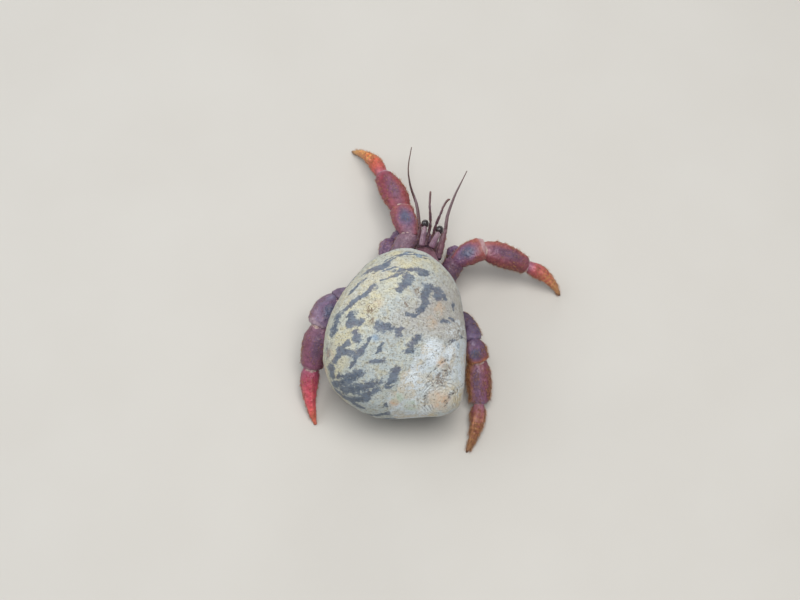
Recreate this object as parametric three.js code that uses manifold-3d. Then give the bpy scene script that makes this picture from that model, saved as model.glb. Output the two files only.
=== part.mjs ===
// A land hermit crab, life size, walking in a West Indian top shell, as a still museum model.
// Millimetres. +Y is the way the crab faces, +X its right and +Z up, with the floor at z = 0.
// While it is built, x = 0 is the crab's own midline; the finished group is then moved so that
// the middle of its footprint is the origin.

import * as THREE from 'three';
import { mergeVertices } from 'three/addons/utils/BufferGeometryUtils.js';
import Module from 'manifold-3d';

const wasm = await Module();
wasm.setup();

// ---- Driving dimensions ---------------------------------------------------------------------

// The shell is one tube wound round an axis. Every size on it grows by the same factor a turn.
const SHELL = {
  growthPerTurn: 2.1,
  mouthRadius: 21.9,          // from the axis to the middle of the mouth
  mouthDrop: 2.1,             // from the tip to the middle of the mouth, in mouth radii
  halfLong: 1.055,            // half the tube's long axis, in mouth radii
  halfShort: 0.822,           // half its short axis, in mouth radii
  leaning: 0.494,             // the long axis's lean out of the shell's own axis, radians
  lipSlant: 0.7,              // how far the lip slopes back across the tube, radians
  shoulderFill: 0.65,         // how much of the groove between two turns is filled
  wall: 2.4,
  restCut: 0.35,              // depth of the small flat that the shell rests on
  mouthTurn: 0.42,            // turns that the hollow of the mouth goes in
  fillFrom: [0.42, 0.6],      // where the fill in the groove begins, in reaches of the cone
  fillLean: [0.35, 0.62],     // and how far it stays off the tip, radians
  smoothing: 0.3,             // how far simplifying may move the shell's skin
};
const SHELL_TIP = new THREE.Vector3(27.3, -54.8, 28.5);
const SHELL_YAW = -36.2;      // degrees from +X to where the tip points
const SHELL_PITCH = 4.9;      // degrees that the tip points up
const SHELL_ROLL = 40.4;      // degrees that the mouth is turned up from level

const PIECE_GAP = 0.4;        // between two plates that meet at a joint

// Joints of the walking legs, from the body out to the tip, the way each segment bows, and how
// broad the last one is beside the others.
const LEGS = {
  front_left_leg: {
    joints: [[-4.6, -2.0, 14.0], [-9.6, 0.2, 15.6], [-6.9, 17.8, 24.4], [-13.5, 29.8, 20.5],
             [-25.0, 46.6, 13.5], [-41.8, 62.2, 0.0]],
    bow: [[0, 0, 0], [-2.2, 0, 1.2], [-0.8, 0, 1.2], [0, 0.8, 0.8], [0.9, 1.8, 2.4]],
    size: 1.0,
    tip: 0.76,
  },
  front_right_leg: {
    joints: [[4.6, -2.0, 14.0], [9.4, 0.0, 14.6], [12.4, 11.4, 20.8], [22.0, 18.4, 22.4],
             [39.2, 19.4, 13.5], [55.0, 15.5, 0.0]],
    bow: [[0, 0, 0], [-1.0, 0, 0.4], [0, 1.0, 1.4], [0, 0.5, 1.0], [1.6, 0.6, 2.6]],
    size: 1.0,
    tip: 0.76,
  },
  rear_left_leg: {
    joints: [[-5.2, -11.5, 14.0], [-11.4, -10.6, 15.4], [-30.6, -16.4, 25.0], [-33.2, -27.6, 23.2],
             [-34.8, -40.2, 11.0], [-29.5, -60.0, 0.0]],
    bow: [[0, 0, 0], [-0.6, 1.0, 2.0], [-1.6, 0.4, 1.4], [-0.8, -0.6, 1.6], [-2.2, 0.8, 1.6]],
    size: 1.06,
    tip: 0.95,
  },
  rear_right_leg: {
    joints: [[5.2, -11.5, 14.0], [15.6, -7.6, 14.2], [24.9, -21.2, 21.5], [28.3, -25.0, 14.8],
             [32.1, -39.4, 5.6], [31.4, -59.0, 0.0]],
    bow: [[0, 0, 0], [1.7, 1.2, 0.2], [0.8, -0.4, 1.0], [0.8, -0.8, 0.6], [1.4, 0.2, 2.0]],
    size: 0.93,
    tip: 0.78,
  },
};

// Breadth and depth of each leg segment at even steps from its near end to its far end.
const LEG_SEGMENTS = [
  { name: 'coxa', breadth: [6.4, 7.2, 6.8], depth: [6.6, 7.4, 6.6], colour: 0x8a4a55 },
  { name: 'merus', breadth: [5.6, 7.6, 8.2, 7.6], depth: [5.8, 7.6, 8.2, 7.2], colour: 0x6a5478 },
  { name: 'carpus', breadth: [6.8, 9.4, 10.0, 8.8], depth: [6.0, 7.4, 8.0, 7.2], colour: 0x7d5a78 },
  { name: 'propodus', breadth: [8.6, 10.6, 9.9, 8.2], depth: [6.8, 7.6, 7.2, 6.2], colour: 0x8c3b4a },
  { name: 'dactyl', breadth: [7.4, 7.8, 6.0, 3.6, 1.5], depth: [6.0, 5.8, 4.6, 3.0, 1.5],
    colour: 0xc24a3c },
];

// ---- Ways of making shapes ------------------------------------------------------------------

const vec = (p) => new THREE.Vector3(...p);

// A value that runs smoothly through a list of even steps, at t from 0 to 1.
function along(list, t) {
  const x = THREE.MathUtils.clamp(t, 0, 1) * (list.length - 1);
  const i = Math.min(Math.floor(x), list.length - 2);
  const f = x - i;
  const p0 = list[Math.max(i - 1, 0)];
  const p1 = list[i];
  const p2 = list[i + 1];
  const p3 = list[Math.min(i + 2, list.length - 1)];
  return 0.5 * (2 * p1 + (p2 - p0) * f + (2 * p0 - 5 * p1 + 4 * p2 - p3) * f * f
    + (3 * p1 - p0 - 3 * p2 + p3) * f * f * f);
}

// One closed skin with its faces pointing out, whichever way round it was made.
function outward(geometry) {
  geometry.deleteAttribute('normal');
  geometry.deleteAttribute('uv');
  const merged = mergeVertices(geometry, 1e-4);
  const p = merged.attributes.position;
  const index = merged.index.array;
  const [a, b, c] = [0, 1, 2].map(() => new THREE.Vector3());
  let volume = 0;
  const kept = [];
  for (let i = 0; i < index.length; i += 3) {
    const [ia, ib, ic] = [index[i], index[i + 1], index[i + 2]];
    if (ia === ib || ib === ic || ic === ia) continue;
    kept.push(ia, ib, ic);
    volume += a.fromBufferAttribute(p, ia).dot(
      b.fromBufferAttribute(p, ib).cross(c.fromBufferAttribute(p, ic)));
  }
  if (volume < 0) kept.reverse();
  merged.setIndex(kept);
  return merged;
}

// A cylinder whose skin is moved onto place(t, angle, rim): t runs from 0 to 1 along it, and
// rim is 1 on its side and 0 at the middle of each flat end.
function moulded(steps, around, place, closeness = 0.5) {
  const geometry = new THREE.CylinderGeometry(1, 1, 1, around, steps);
  const p = geometry.attributes.position;
  for (let i = 0; i < p.count; i += 1) {
    const even = p.getY(i) + 0.5;
    const eased = 0.5 - 0.5 * Math.cos(Math.PI * even);
    const t = THREE.MathUtils.lerp(even, eased, closeness);
    const angle = Math.atan2(p.getZ(i), p.getX(i));
    const rim = Math.hypot(p.getX(i), p.getZ(i));
    const q = place(t, angle, rim);
    p.setXYZ(i, q.x, q.y, q.z);
  }
  return outward(geometry);
}

// A limb from one point to another, bowed to one side, with an oval section and round ends.
function limb({ from, to, bow = [0, 0, 0], breadth, depth, up = [0, 0, 1], steps = 6,
                around = 8, roundness = 8, blunt = 0.74, grow = 0, squareness = 1,
                tipEnd = false }) {
  const start = vec(from);
  const end = vec(to);
  const axis = end.clone().sub(start).normalize();
  start.addScaledVector(axis, -grow);
  end.addScaledVector(axis, grow);
  const middle = start.clone().add(end).multiplyScalar(0.5).addScaledVector(vec(bow), 2);
  const curve = new THREE.QuadraticBezierCurve3(start, middle, end);
  const top = vec(up);
  return moulded(steps, around, (t, angle, rim) => {
    const centre = curve.getPoint(t);
    const ahead = curve.getTangent(t);
    const side = new THREE.Vector3().crossVectors(ahead, top).normalize();
    const rise = new THREE.Vector3().crossVectors(side, ahead).normalize();
    const reach = tipEnd ? Math.max(1 - 2 * t, 0) : Math.abs(2 * t - 1);
    const ease = Math.max(Math.sqrt(Math.max(1 - reach ** roundness, 0)), blunt);
    const c = Math.cos(angle);
    const s = Math.sin(angle);
    const corner = (Math.abs(c) ** (2 / squareness) + Math.abs(s) ** (2 / squareness))
      ** (-squareness / 2);
    const out = rim * ease * corner;
    return centre
      .addScaledVector(side, c * out * (0.5 * along(breadth, t) + grow))
      .addScaledVector(rise, s * out * (0.5 * along(depth, t) + grow));
  });
}

// A round tube through a few points, with a radius that runs through a list.
function stalk(points, radii, { steps = 10, around = 8 } = {}) {
  const curve = new THREE.CatmullRomCurve3(points.map(vec));
  return moulded(steps, around, (t, angle, rim) => {
    const centre = curve.getPointAt(THREE.MathUtils.clamp(t, 0, 1));
    const ahead = curve.getTangentAt(THREE.MathUtils.clamp(t, 0, 1));
    const side = new THREE.Vector3().crossVectors(ahead, new THREE.Vector3(0, 0, 1)).normalize();
    const rise = new THREE.Vector3().crossVectors(side, ahead).normalize();
    const r = rim * along(radii, t);
    return centre
      .addScaledVector(side, Math.cos(angle) * r)
      .addScaledVector(rise, Math.sin(angle) * r);
  }, 0.2);
}

function toSolid(geometry) {
  return new wasm.Manifold(new wasm.Mesh({
    numProp: 3,
    vertProperties: Float32Array.from(geometry.attributes.position.array),
    triVerts: Uint32Array.from(geometry.index.array),
  }));
}

function toGeometry(solid) {
  const mesh = solid.getMesh();
  const geometry = new THREE.BufferGeometry();
  geometry.setAttribute('position', new THREE.BufferAttribute(mesh.vertProperties, 3));
  geometry.setIndex(new THREE.BufferAttribute(mesh.triVerts, 1));
  return geometry;
}

// The plane between two plates at a joint halves the bend there; each plate keeps its own side.
function trimAtJoint(solid, before, joint, after, keepsFar) {
  const inward = vec(joint).sub(vec(before)).normalize();
  const normal = vec(after).sub(vec(joint)).normalize().add(inward).normalize();
  if (!keepsFar) normal.negate();
  return solid.trimByPlane(normal.toArray(), normal.dot(vec(joint)) + PIECE_GAP / 2);
}

const crab = new THREE.Group();

function addPiece(name, geometry, colour, roughness = 0.5) {
  const material = new THREE.MeshStandardMaterial({ color: colour, roughness, metalness: 0 });
  const mesh = new THREE.Mesh(geometry, material);
  mesh.name = name;
  crab.add(mesh);
}

// ---- Shell ----------------------------------------------------------------------------------

const shellAxis = new THREE.Vector3(1, 0, 0)
  .applyAxisAngle(new THREE.Vector3(0, 1, 0), -THREE.MathUtils.degToRad(SHELL_PITCH))
  .applyAxisAngle(new THREE.Vector3(0, 0, 1), THREE.MathUtils.degToRad(SHELL_YAW));
const shellLevel = new THREE.Vector3(0, 0, 1).cross(shellAxis).normalize();
const shellMouth = shellLevel.clone()
  .applyAxisAngle(shellAxis, THREE.MathUtils.degToRad(SHELL_ROLL));
const shellPlace = new THREE.Matrix4()
  .makeBasis(shellMouth, new THREE.Vector3().crossVectors(shellAxis, shellMouth), shellAxis)
  .setPosition(SHELL_TIP);

// The tube's section in a plane through the axis: r out from the axis, z towards the tip.
// Where a turn lies on the one before, the groove is filled towards the straight cone.
const coneEdge = (() => {
  let edge = { lean: 0, reach: 1 };
  for (let s = 0; s < 2 * Math.PI; s += 0.01) {
    const { r, z } = ovalPoint(s, 1);
    const lean = Math.atan2(r, -z);
    if (lean > edge.lean) edge = { lean, reach: Math.hypot(r, z) };
  }
  return edge;
})();

function ovalPoint(s, scale) {
  const { halfLong, halfShort, leaning, mouthDrop } = SHELL;
  const long = halfLong * scale * Math.cos(s);
  const short = halfShort * scale * Math.sin(s);
  return {
    r: 1 + long * Math.sin(leaning) + short * Math.cos(leaning),
    z: -mouthDrop - long * Math.cos(leaning) + short * Math.sin(leaning),
  };
}

function sectionPoint(s, scale) {
  const { r, z } = ovalPoint(s, scale);
  if (scale < 1) return { r, z };
  const lean = Math.atan2(r, -z);
  const reach = Math.hypot(r, z);
  const inFill = THREE.MathUtils.smoothstep(reach / coneEdge.reach, ...SHELL.fillFrom)
    * (reach < coneEdge.reach ? 1 : 0) * THREE.MathUtils.smoothstep(lean, ...SHELL.fillLean);
  const filled = lean + SHELL.shoulderFill * inFill * (coneEdge.lean - lean);
  return { r: reach * Math.sin(filled), z: -reach * Math.cos(filled) };
}

// A length of the tube between two angles. Angle 0 is the mouth, and it is negative inside.
function shellTube(from, to, steps, around, scale = 1) {
  const rate = Math.log(SHELL.growthPerTurn) / (2 * Math.PI);
  const geometry = moulded(steps, around, (t, angle, rim) => {
    const { r, z } = sectionPoint(angle, scale);
    const centre = ovalPoint(0, 0);
    const radius = THREE.MathUtils.lerp(centre.r, r, rim);
    const height = THREE.MathUtils.lerp(centre.z, z, rim);
    const slant = Math.tan(SHELL.lipSlant) * (height + SHELL.mouthDrop) / Math.max(radius, 0.5);
    const turn = from + (to - from) * t + slant;
    const size = SHELL.mouthRadius * Math.exp(rate * turn);
    return new THREE.Vector3(
      size * radius * Math.cos(turn), -size * radius * Math.sin(turn), size * height);
  }, 0);
  return geometry.applyMatrix4(shellPlace);
}

const TURN = 2 * Math.PI;
const PAST_THE_LIP = 0.04 * TURN;
const lastLength = toSolid(shellTube(-0.72 * TURN, 0, 13, 22));
const innerLengths = [
  toSolid(shellTube(-1.4 * TURN, -0.7 * TURN, 11, 15)),
  toSolid(shellTube(-2.1 * TURN, -1.38 * TURN, 9, 11)),
  toSolid(shellTube(-2.8 * TURN, -2.08 * TURN, 7, 8)),
  toSolid(shellTube(-3.5 * TURN, -2.78 * TURN, 6, 6)),
];
const hollowScale = 1 - SHELL.wall / (SHELL.mouthRadius * SHELL.halfShort);
const mouthHollow = toSolid(
  shellTube(-SHELL.mouthTurn * TURN, PAST_THE_LIP, 7, 14, hollowScale));
const [blockWide, blockHigh] = [200, 40];
const floorBlock = new THREE.BoxGeometry(blockWide, blockWide, blockHigh)
  .translate(0, 0, SHELL.restCut - blockHigh / 2);
let shellSolid = lastLength.subtract(mouthHollow);
for (const length of innerLengths) shellSolid = shellSolid.add(length);
shellSolid = shellSolid.subtract(toSolid(outward(floorBlock)));
// Pockets closed in between two turns are real shell matter, so only the outer skin is kept.
const [shellSkin] = shellSolid.simplify(SHELL.smoothing).decompose()
  .sort((one, other) => other.volume() - one.volume());
const shellGeometry = toGeometry(shellSkin);
shellGeometry.translate(0, 0, -SHELL.restCut);
addPiece('shell', shellGeometry, 0xb8b09a, 0.7);

// ---- Body: soft parts and the two back plates -----------------------------------------------

// The soft abdomen follows the middle of the hollow, round into the shell.
function hollowMiddle(turns) {
  const rate = Math.log(SHELL.growthPerTurn);
  const size = SHELL.mouthRadius * Math.exp(rate * turns);
  const angle = TURN * turns;
  return new THREE.Vector3(size * Math.cos(angle), -size * Math.sin(angle),
    -size * SHELL.mouthDrop).applyMatrix4(shellPlace).toArray();
}

const REAR_END = [-0.9, -25.0, 35.4];
const abdomen = toSolid(stalk(
  [[-0.8, -23.0, 33.6], ...[-0.12, -0.2, -0.28, -0.36].map(hollowMiddle)],
  [7.6, 9.5, 8.5, 7.0, 5.0], { steps: 8, around: 10 }));

const thoraxBody = {
  from: [0, 11.2, 13.2], to: [-0.5, -20, 20.5], bow: [0, 0, -1.6],
  breadth: [6, 8.0, 9.0, 11.5, 13, 12], depth: [5.5, 7.0, 7.6, 8.0, 9, 10],
  steps: 8, around: 12 };
let thorax = toSolid(limb(thoraxBody));
for (const { joints, size } of Object.values(LEGS)) {
  const [coxa] = LEG_SEGMENTS;
  thorax = thorax.subtract(toSolid(limb({
    from: joints[0], to: joints[1], grow: PIECE_GAP, around: 8,
    breadth: coxa.breadth.map((b) => b * size), depth: coxa.depth.map((d) => d * size) })));
}
addPiece('thorax', toGeometry(thorax), 0x9a5a50, 0.6);

// The two back plates meet at the groove across the back, the hard shield in front.
const SHIELD_FRONT = [0, 14.2, 22.6];
const GROOVE = [0, -7.6, 24.6];
const WAIST_AHEAD = hollowMiddle(-0.12);
const rear = toSolid(limb({
  from: GROOVE, to: REAR_END, bow: [0, 1.0, 1.2], up: [0, 0.5, 0.9], around: 12,
  breadth: [16, 18.5, 18, 16.5], depth: [9.5, 12, 14.5, 15] }));
const shield = toSolid(limb({
  from: SHIELD_FRONT, to: GROOVE, bow: [0, 0, 0.9], squareness: 0.9, steps: 7, around: 12,
  breadth: [8.0, 12.4, 14.8, 16, 16], depth: [3.6, 6.4, 8.4, 9.4, 9.6] }));
addPiece('rear_carapace', toGeometry(trimAtJoint(
  trimAtJoint(rear, SHIELD_FRONT, GROOVE, REAR_END, true),
  GROOVE, REAR_END, WAIST_AHEAD, false)), 0x9c6a5c, 0.55);
addPiece('abdomen', toGeometry(
  trimAtJoint(abdomen, GROOVE, REAR_END, WAIST_AHEAD, true)), 0xa9634f, 0.6);
addPiece('carapace_shield', toGeometry(
  trimAtJoint(shield, SHIELD_FRONT, GROOVE, REAR_END, false)), 0xa55a48, 0.45);

// ---- Head: eyes, feelers and mouthparts -----------------------------------------------------

const EYES = { left: [-2.4, 21.2], right: [3.5, 19.8] };   // where each stalk ends
for (const [side, way] of [['left', -1], ['right', 1]]) {
  const [x, y] = EYES[side];
  addPiece(`${side}_eyestalk`, limb({
    from: [1.9 * way, 12.8, 27.4], to: [x, y, 27.4], bow: [0, 0, 0.3],
    breadth: [3.2, 2.8, 2.4, 2.5], depth: [3.6, 4.4, 4.2, 3.6], around: 7 }), 0x5c4668);
  addPiece(`${side}_eye`, limb({
    from: [x + 0.05 * way, y + 0.4, 27.4], to: [x + 0.3 * way, y + 2.8, 27.3],
    breadth: [2.6, 2.8, 2.3], depth: [3.6, 3.6, 2.8], steps: 5, around: 7, roundness: 3 }),
  0x141012, 0.15);
  addPiece(`${side}_maxilliped`, stalk(
    [[2.4 * way, 12.6, 9.6], [2.7 * way, 14.2, 8.6], [2.9 * way, 15.2, 6.0], [2.4 * way, 14.2, 2.8]],
    [1.5, 1.6, 1.3, 0.7], { steps: 7, around: 7 }), 0x8b4b4a);
  addPiece(`${side}_antenna_stalk`, stalk(
    [[4.3 * way, 12.8, 18.5], [4.7 * way, 17, 18.8], [5.0 * way, 21.5, 20.0], [5.2 * way, 25, 21.6]],
    [1.8, 1.6, 1.3, 0.9], { steps: 8, around: 7 }), 0x7a4656);
}

addPiece('left_antenna_whip', stalk(
  [[-5.6, 25.5, 21.9], [-8, 33, 21], [-13, 44, 15.5], [-16, 54, 12], [-16.5, 63, 13]],
  [0.75, 0.6, 0.5, 0.42, 0.36], { steps: 12, around: 6 }), 0x6b4038);
addPiece('right_antenna_whip', stalk(
  [[5.6, 25.5, 21.9], [5.1, 29, 23], [6.3, 39.5, 24], [7.2, 45.4, 22], [8.4, 54.5, 17.6]],
  [0.75, 0.6, 0.5, 0.42, 0.36], { steps: 12, around: 6 }), 0x6b4038);
addPiece('left_antennule_stalk', stalk(
  [[-0.9, 15.8, 22.4], [-0.8, 20, 22.2], [-0.7, 24.0, 25.2], [-2.1, 29.2, 32.2]],
  [0.65, 0.6, 0.55, 0.45], { steps: 9, around: 6 }), 0x7a4656);
addPiece('right_antennule_stalk', stalk(
  [[0.9, 15.8, 22.4], [1.2, 20, 22.4], [1.6, 23.4, 25.8], [3.3, 28.2, 32.0]],
  [0.65, 0.6, 0.55, 0.45], { steps: 9, around: 6 }), 0x7a4656);
addPiece('left_antennule_whip', stalk(
  [[-2.2, 29.8, 32.6], [-2.6, 32.4, 32.8], [-3.0, 35, 31], [-3.2, 36.6, 28.6]],
  [0.42, 0.44, 0.4, 0.28], { steps: 7, around: 6 }), 0xb98a5a);
addPiece('right_antennule_whip', stalk(
  [[3.4, 28.9, 32.3], [4.0, 31.4, 32.2], [4.6, 33.8, 30.2], [4.9, 35.2, 27.8]],
  [0.42, 0.44, 0.4, 0.28], { steps: 7, around: 6 }), 0xb98a5a);

// ---- Claws: the large left one and the small right one, both folded under the head ----------

const CLAWS = {
  left_claw: {
    joints: [[-3.4, 7.2, 9.2], [-6.0, 8.0, 9.6], [-15.8, 10.8, 15.0], [-16.2, 17.4, 10.0]],
    palmEnd: [-6.0, 23.2, 7.2], fixedTip: [2.6, 20.2, 0.9], movingTip: [4.2, 22.0, 4.2],
    arm: [6.0, 8.0], wrist: [7.8, 9.0], palm: [11.2, 16.0], finger: 1.05,
  },
  right_claw: {
    joints: [[3.2, 7.2, 9.2], [5.4, 8.6, 9.8], [10.4, 14.6, 13.2], [12.4, 19.2, 9.4]],
    palmEnd: [9.4, 21.2, 5.4], fixedTip: [6.4, 17.6, 0.9], movingTip: [7.0, 20.9, 1.0],
    arm: [4.8, 6.0], wrist: [5.6, 6.2], palm: [6.4, 8.6], finger: 0.66,
  },
};

for (const [name, claw] of Object.entries(CLAWS)) {
  const [base, hip, elbow, wrist] = claw.joints;
  const [armThin, armDeep] = claw.arm;
  const [wristThin, wristDeep] = claw.wrist;
  const [palmThin, palmDeep] = claw.palm;
  const baseSolid = toSolid(limb({
    from: base, to: hip, breadth: [armThin, armThin], depth: [armDeep * 0.8, armDeep * 0.8],
    steps: 3 }));
  const armSolid = toSolid(limb({
    from: hip, to: elbow,
    breadth: [armThin * 0.8, armThin, armThin * 1.1], depth: [armDeep * 0.7, armDeep, armDeep] }));
  const wristSolid = toSolid(limb({
    from: elbow, to: wrist, bow: [0, 0.4, 0.8], up: [0.3, 0.8, 0.5], steps: 5,
    breadth: [wristThin * 0.8, wristThin, wristThin],
    depth: [wristDeep * 0.8, wristDeep, wristDeep] }));
  addPiece(`${name}_base`,
    toGeometry(trimAtJoint(baseSolid, base, hip, elbow, false)), 0x8a4a55);
  addPiece(`${name}_arm`, toGeometry(trimAtJoint(
    trimAtJoint(armSolid, base, hip, elbow, true), hip, elbow, wrist, false)), 0x6a4f72);
  addPiece(`${name}_wrist`, toGeometry(trimAtJoint(
    trimAtJoint(wristSolid, hip, elbow, wrist, true), elbow, wrist, claw.palmEnd, false)), 0x6d4a70);

  // The fixed finger grows out of the palm, and the moving one turns in a socket beside it.
  const palmEnd = vec(claw.palmEnd);
  const fingerRoot = palmEnd.clone().lerp(vec(claw.fixedTip), -0.25);
  const palmBody = limb({
    from: wrist, to: claw.palmEnd, bow: [0, 0.8, 0.6],
    breadth: [palmThin * 0.62, palmThin * 0.95, palmThin, palmThin * 0.72],
    depth: [palmDeep * 0.6, palmDeep * 0.95, palmDeep, palmDeep * 0.8],
    around: 10, roundness: 4 });
  const f = claw.finger;
  const fixedFinger = limb({
    from: fingerRoot.toArray(), to: claw.fixedTip, bow: [0, 0.2, -0.9 * f],
    breadth: [7.0 * f, 6.2 * f, 4.2 * f, 1.6 * f], depth: [6.6 * f, 5.4 * f, 3.8 * f, 1.6 * f],
    tipEnd: true });
  const between = vec(claw.movingTip).sub(vec(claw.fixedTip)).setLength(3.4 * f);
  const movingFinger = {
    from: palmEnd.clone().add(between).toArray(), to: claw.movingTip, bow: [0, 0.3, 1.1 * f],
    breadth: [6.2 * f, 6.0 * f, 4.0 * f, 1.5 * f], depth: [5.2 * f, 5.0 * f, 3.6 * f, 1.5 * f],
    tipEnd: true };
  const palm = trimAtJoint(
    toSolid(palmBody).add(toSolid(fixedFinger)), elbow, wrist, claw.palmEnd, true);
  const socket = toSolid(limb({ ...movingFinger, grow: PIECE_GAP }));
  addPiece(`${name}_palm`, toGeometry(palm.subtract(socket)), 0x6e4a74);
  addPiece(`${name}_finger`, limb(movingFinger), 0x7a4458);
}

// ---- Walking legs ---------------------------------------------------------------------------

const FLOOR_NORMAL = [0, 0, 1];
const SEGMENT_STEPS = [4, 6, 5, 6, 8];
const SEGMENT_BLUNT = 0.84;   // breadth at a joint, as a share of the breadth beside it
for (const [name, leg] of Object.entries(LEGS)) {
  const { joints, size } = leg;
  LEG_SEGMENTS.forEach((segment, i) => {
    const isTip = i === LEG_SEGMENTS.length - 1;
    const narrowed = (k) => (
      isTip || (segment.name === 'propodus' && k === segment.breadth.length - 1) ? leg.tip : 1);
    let solid = toSolid(limb({
      from: joints[i], to: joints[i + 1], bow: leg.bow[i],
      breadth: segment.breadth.map((b, k) => b * size * narrowed(k)),
      depth: segment.depth.map((d) => d * size),
      steps: SEGMENT_STEPS[i], blunt: SEGMENT_BLUNT, tipEnd: isTip }));
    if (i > 0) solid = trimAtJoint(solid, joints[i - 1], joints[i], joints[i + 1], true);
    if (isTip) solid = solid.trimByPlane(FLOOR_NORMAL, 0);
    else solid = trimAtJoint(solid, joints[i], joints[i + 1], joints[i + 2], false);
    addPiece(`${name}_${segment.name}`, toGeometry(solid), segment.colour);
  });
}

// The short fourth legs reach out over the lip of the mouth.
for (const [side, way] of [['left', -1], ['right', 1]]) {
  addPiece(`${side}_small_leg`, stalk(
    [[7.5 * way, -15.5, 20], [11 * way, -14.5, 24.5], [12 * way, -13, 29], [10.4 * way, -11.6, 32]],
    [2.2, 2.4, 2.0, 1.1], { steps: 7, around: 7 }), 0x9a5648);
}

// ---- The origin goes under the middle -------------------------------------------------------

const box = new THREE.Box3().setFromObject(crab);
const middle = box.getCenter(new THREE.Vector3());
crab.position.set(-middle.x, -middle.y, -box.min.z);

export default crab;
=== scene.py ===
# A land hermit crab walking in a West Indian top shell, as a life-size still museum model.
# Metres. +Y is the way the crab faces, +X its right and +Z up, and it stands on a floor at z = 0.

import math

import bmesh
import bpy
import numpy as np
from mathutils import Matrix, Vector, noise
from mathutils.kdtree import KDTree


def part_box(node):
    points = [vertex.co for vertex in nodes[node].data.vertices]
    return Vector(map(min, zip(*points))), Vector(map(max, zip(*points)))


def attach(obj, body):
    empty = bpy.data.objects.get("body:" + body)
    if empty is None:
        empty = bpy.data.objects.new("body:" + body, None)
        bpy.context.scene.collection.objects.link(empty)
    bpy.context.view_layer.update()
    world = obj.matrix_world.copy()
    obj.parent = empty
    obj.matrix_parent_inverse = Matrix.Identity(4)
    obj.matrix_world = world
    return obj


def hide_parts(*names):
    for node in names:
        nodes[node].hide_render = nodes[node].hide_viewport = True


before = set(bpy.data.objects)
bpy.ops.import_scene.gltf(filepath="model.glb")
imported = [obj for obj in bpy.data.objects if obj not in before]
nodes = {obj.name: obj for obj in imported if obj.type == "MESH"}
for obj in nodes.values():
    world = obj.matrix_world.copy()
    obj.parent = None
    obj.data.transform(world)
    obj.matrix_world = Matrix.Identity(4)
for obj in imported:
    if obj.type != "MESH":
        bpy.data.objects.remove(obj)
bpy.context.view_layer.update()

# ---- Camera ---------------------------------------------------------------------------------
# A long lens looks down on the shell's back from behind the crab and a little to its right.

VIEW_TURN = math.radians(12)
VIEW_RISE = math.radians(66)
VIEW_DISTANCE = 0.9
VIEW_AIM = Vector((-0.01336, -0.00700, 0.0140))
LENS_MM, SENSOR_MM = 101.25, 36
FARTHEST_SEEN = 20


def in_scene(name, content):
    """A new object in the scene with that mesh, lamp or camera as what it holds."""
    made = bpy.data.objects.new(name, content)
    bpy.context.scene.collection.objects.link(made)
    return made


view_back = Vector((
    math.sin(VIEW_TURN) * math.cos(VIEW_RISE),
    -math.cos(VIEW_TURN) * math.cos(VIEW_RISE),
    math.sin(VIEW_RISE),
))
camera = in_scene("camera", bpy.data.cameras.new("camera"))
camera.data.lens = LENS_MM
camera.data.sensor_width = SENSOR_MM
camera.data.clip_end = FARTHEST_SEEN
camera.location = VIEW_AIM + view_back * VIEW_DISTANCE
camera.rotation_euler = view_back.to_track_quat("Z", "Y").to_euler()
bpy.context.scene.camera = camera

# ---- Floor and light ------------------------------------------------------------------------
# A plain pale studio table of painted board, lit by one large soft lamp, a wide fill and a
# pale room.


def srgb(red, green, blue):
    """A colour given as 0 to 255 on a screen, as the light values that a shader takes."""
    def light(level):
        level /= 255
        return level / 12.92 if level <= 0.04045 else ((level + 0.055) / 1.055) ** 2.4
    return light(red), light(green), light(blue), 1.0


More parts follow.
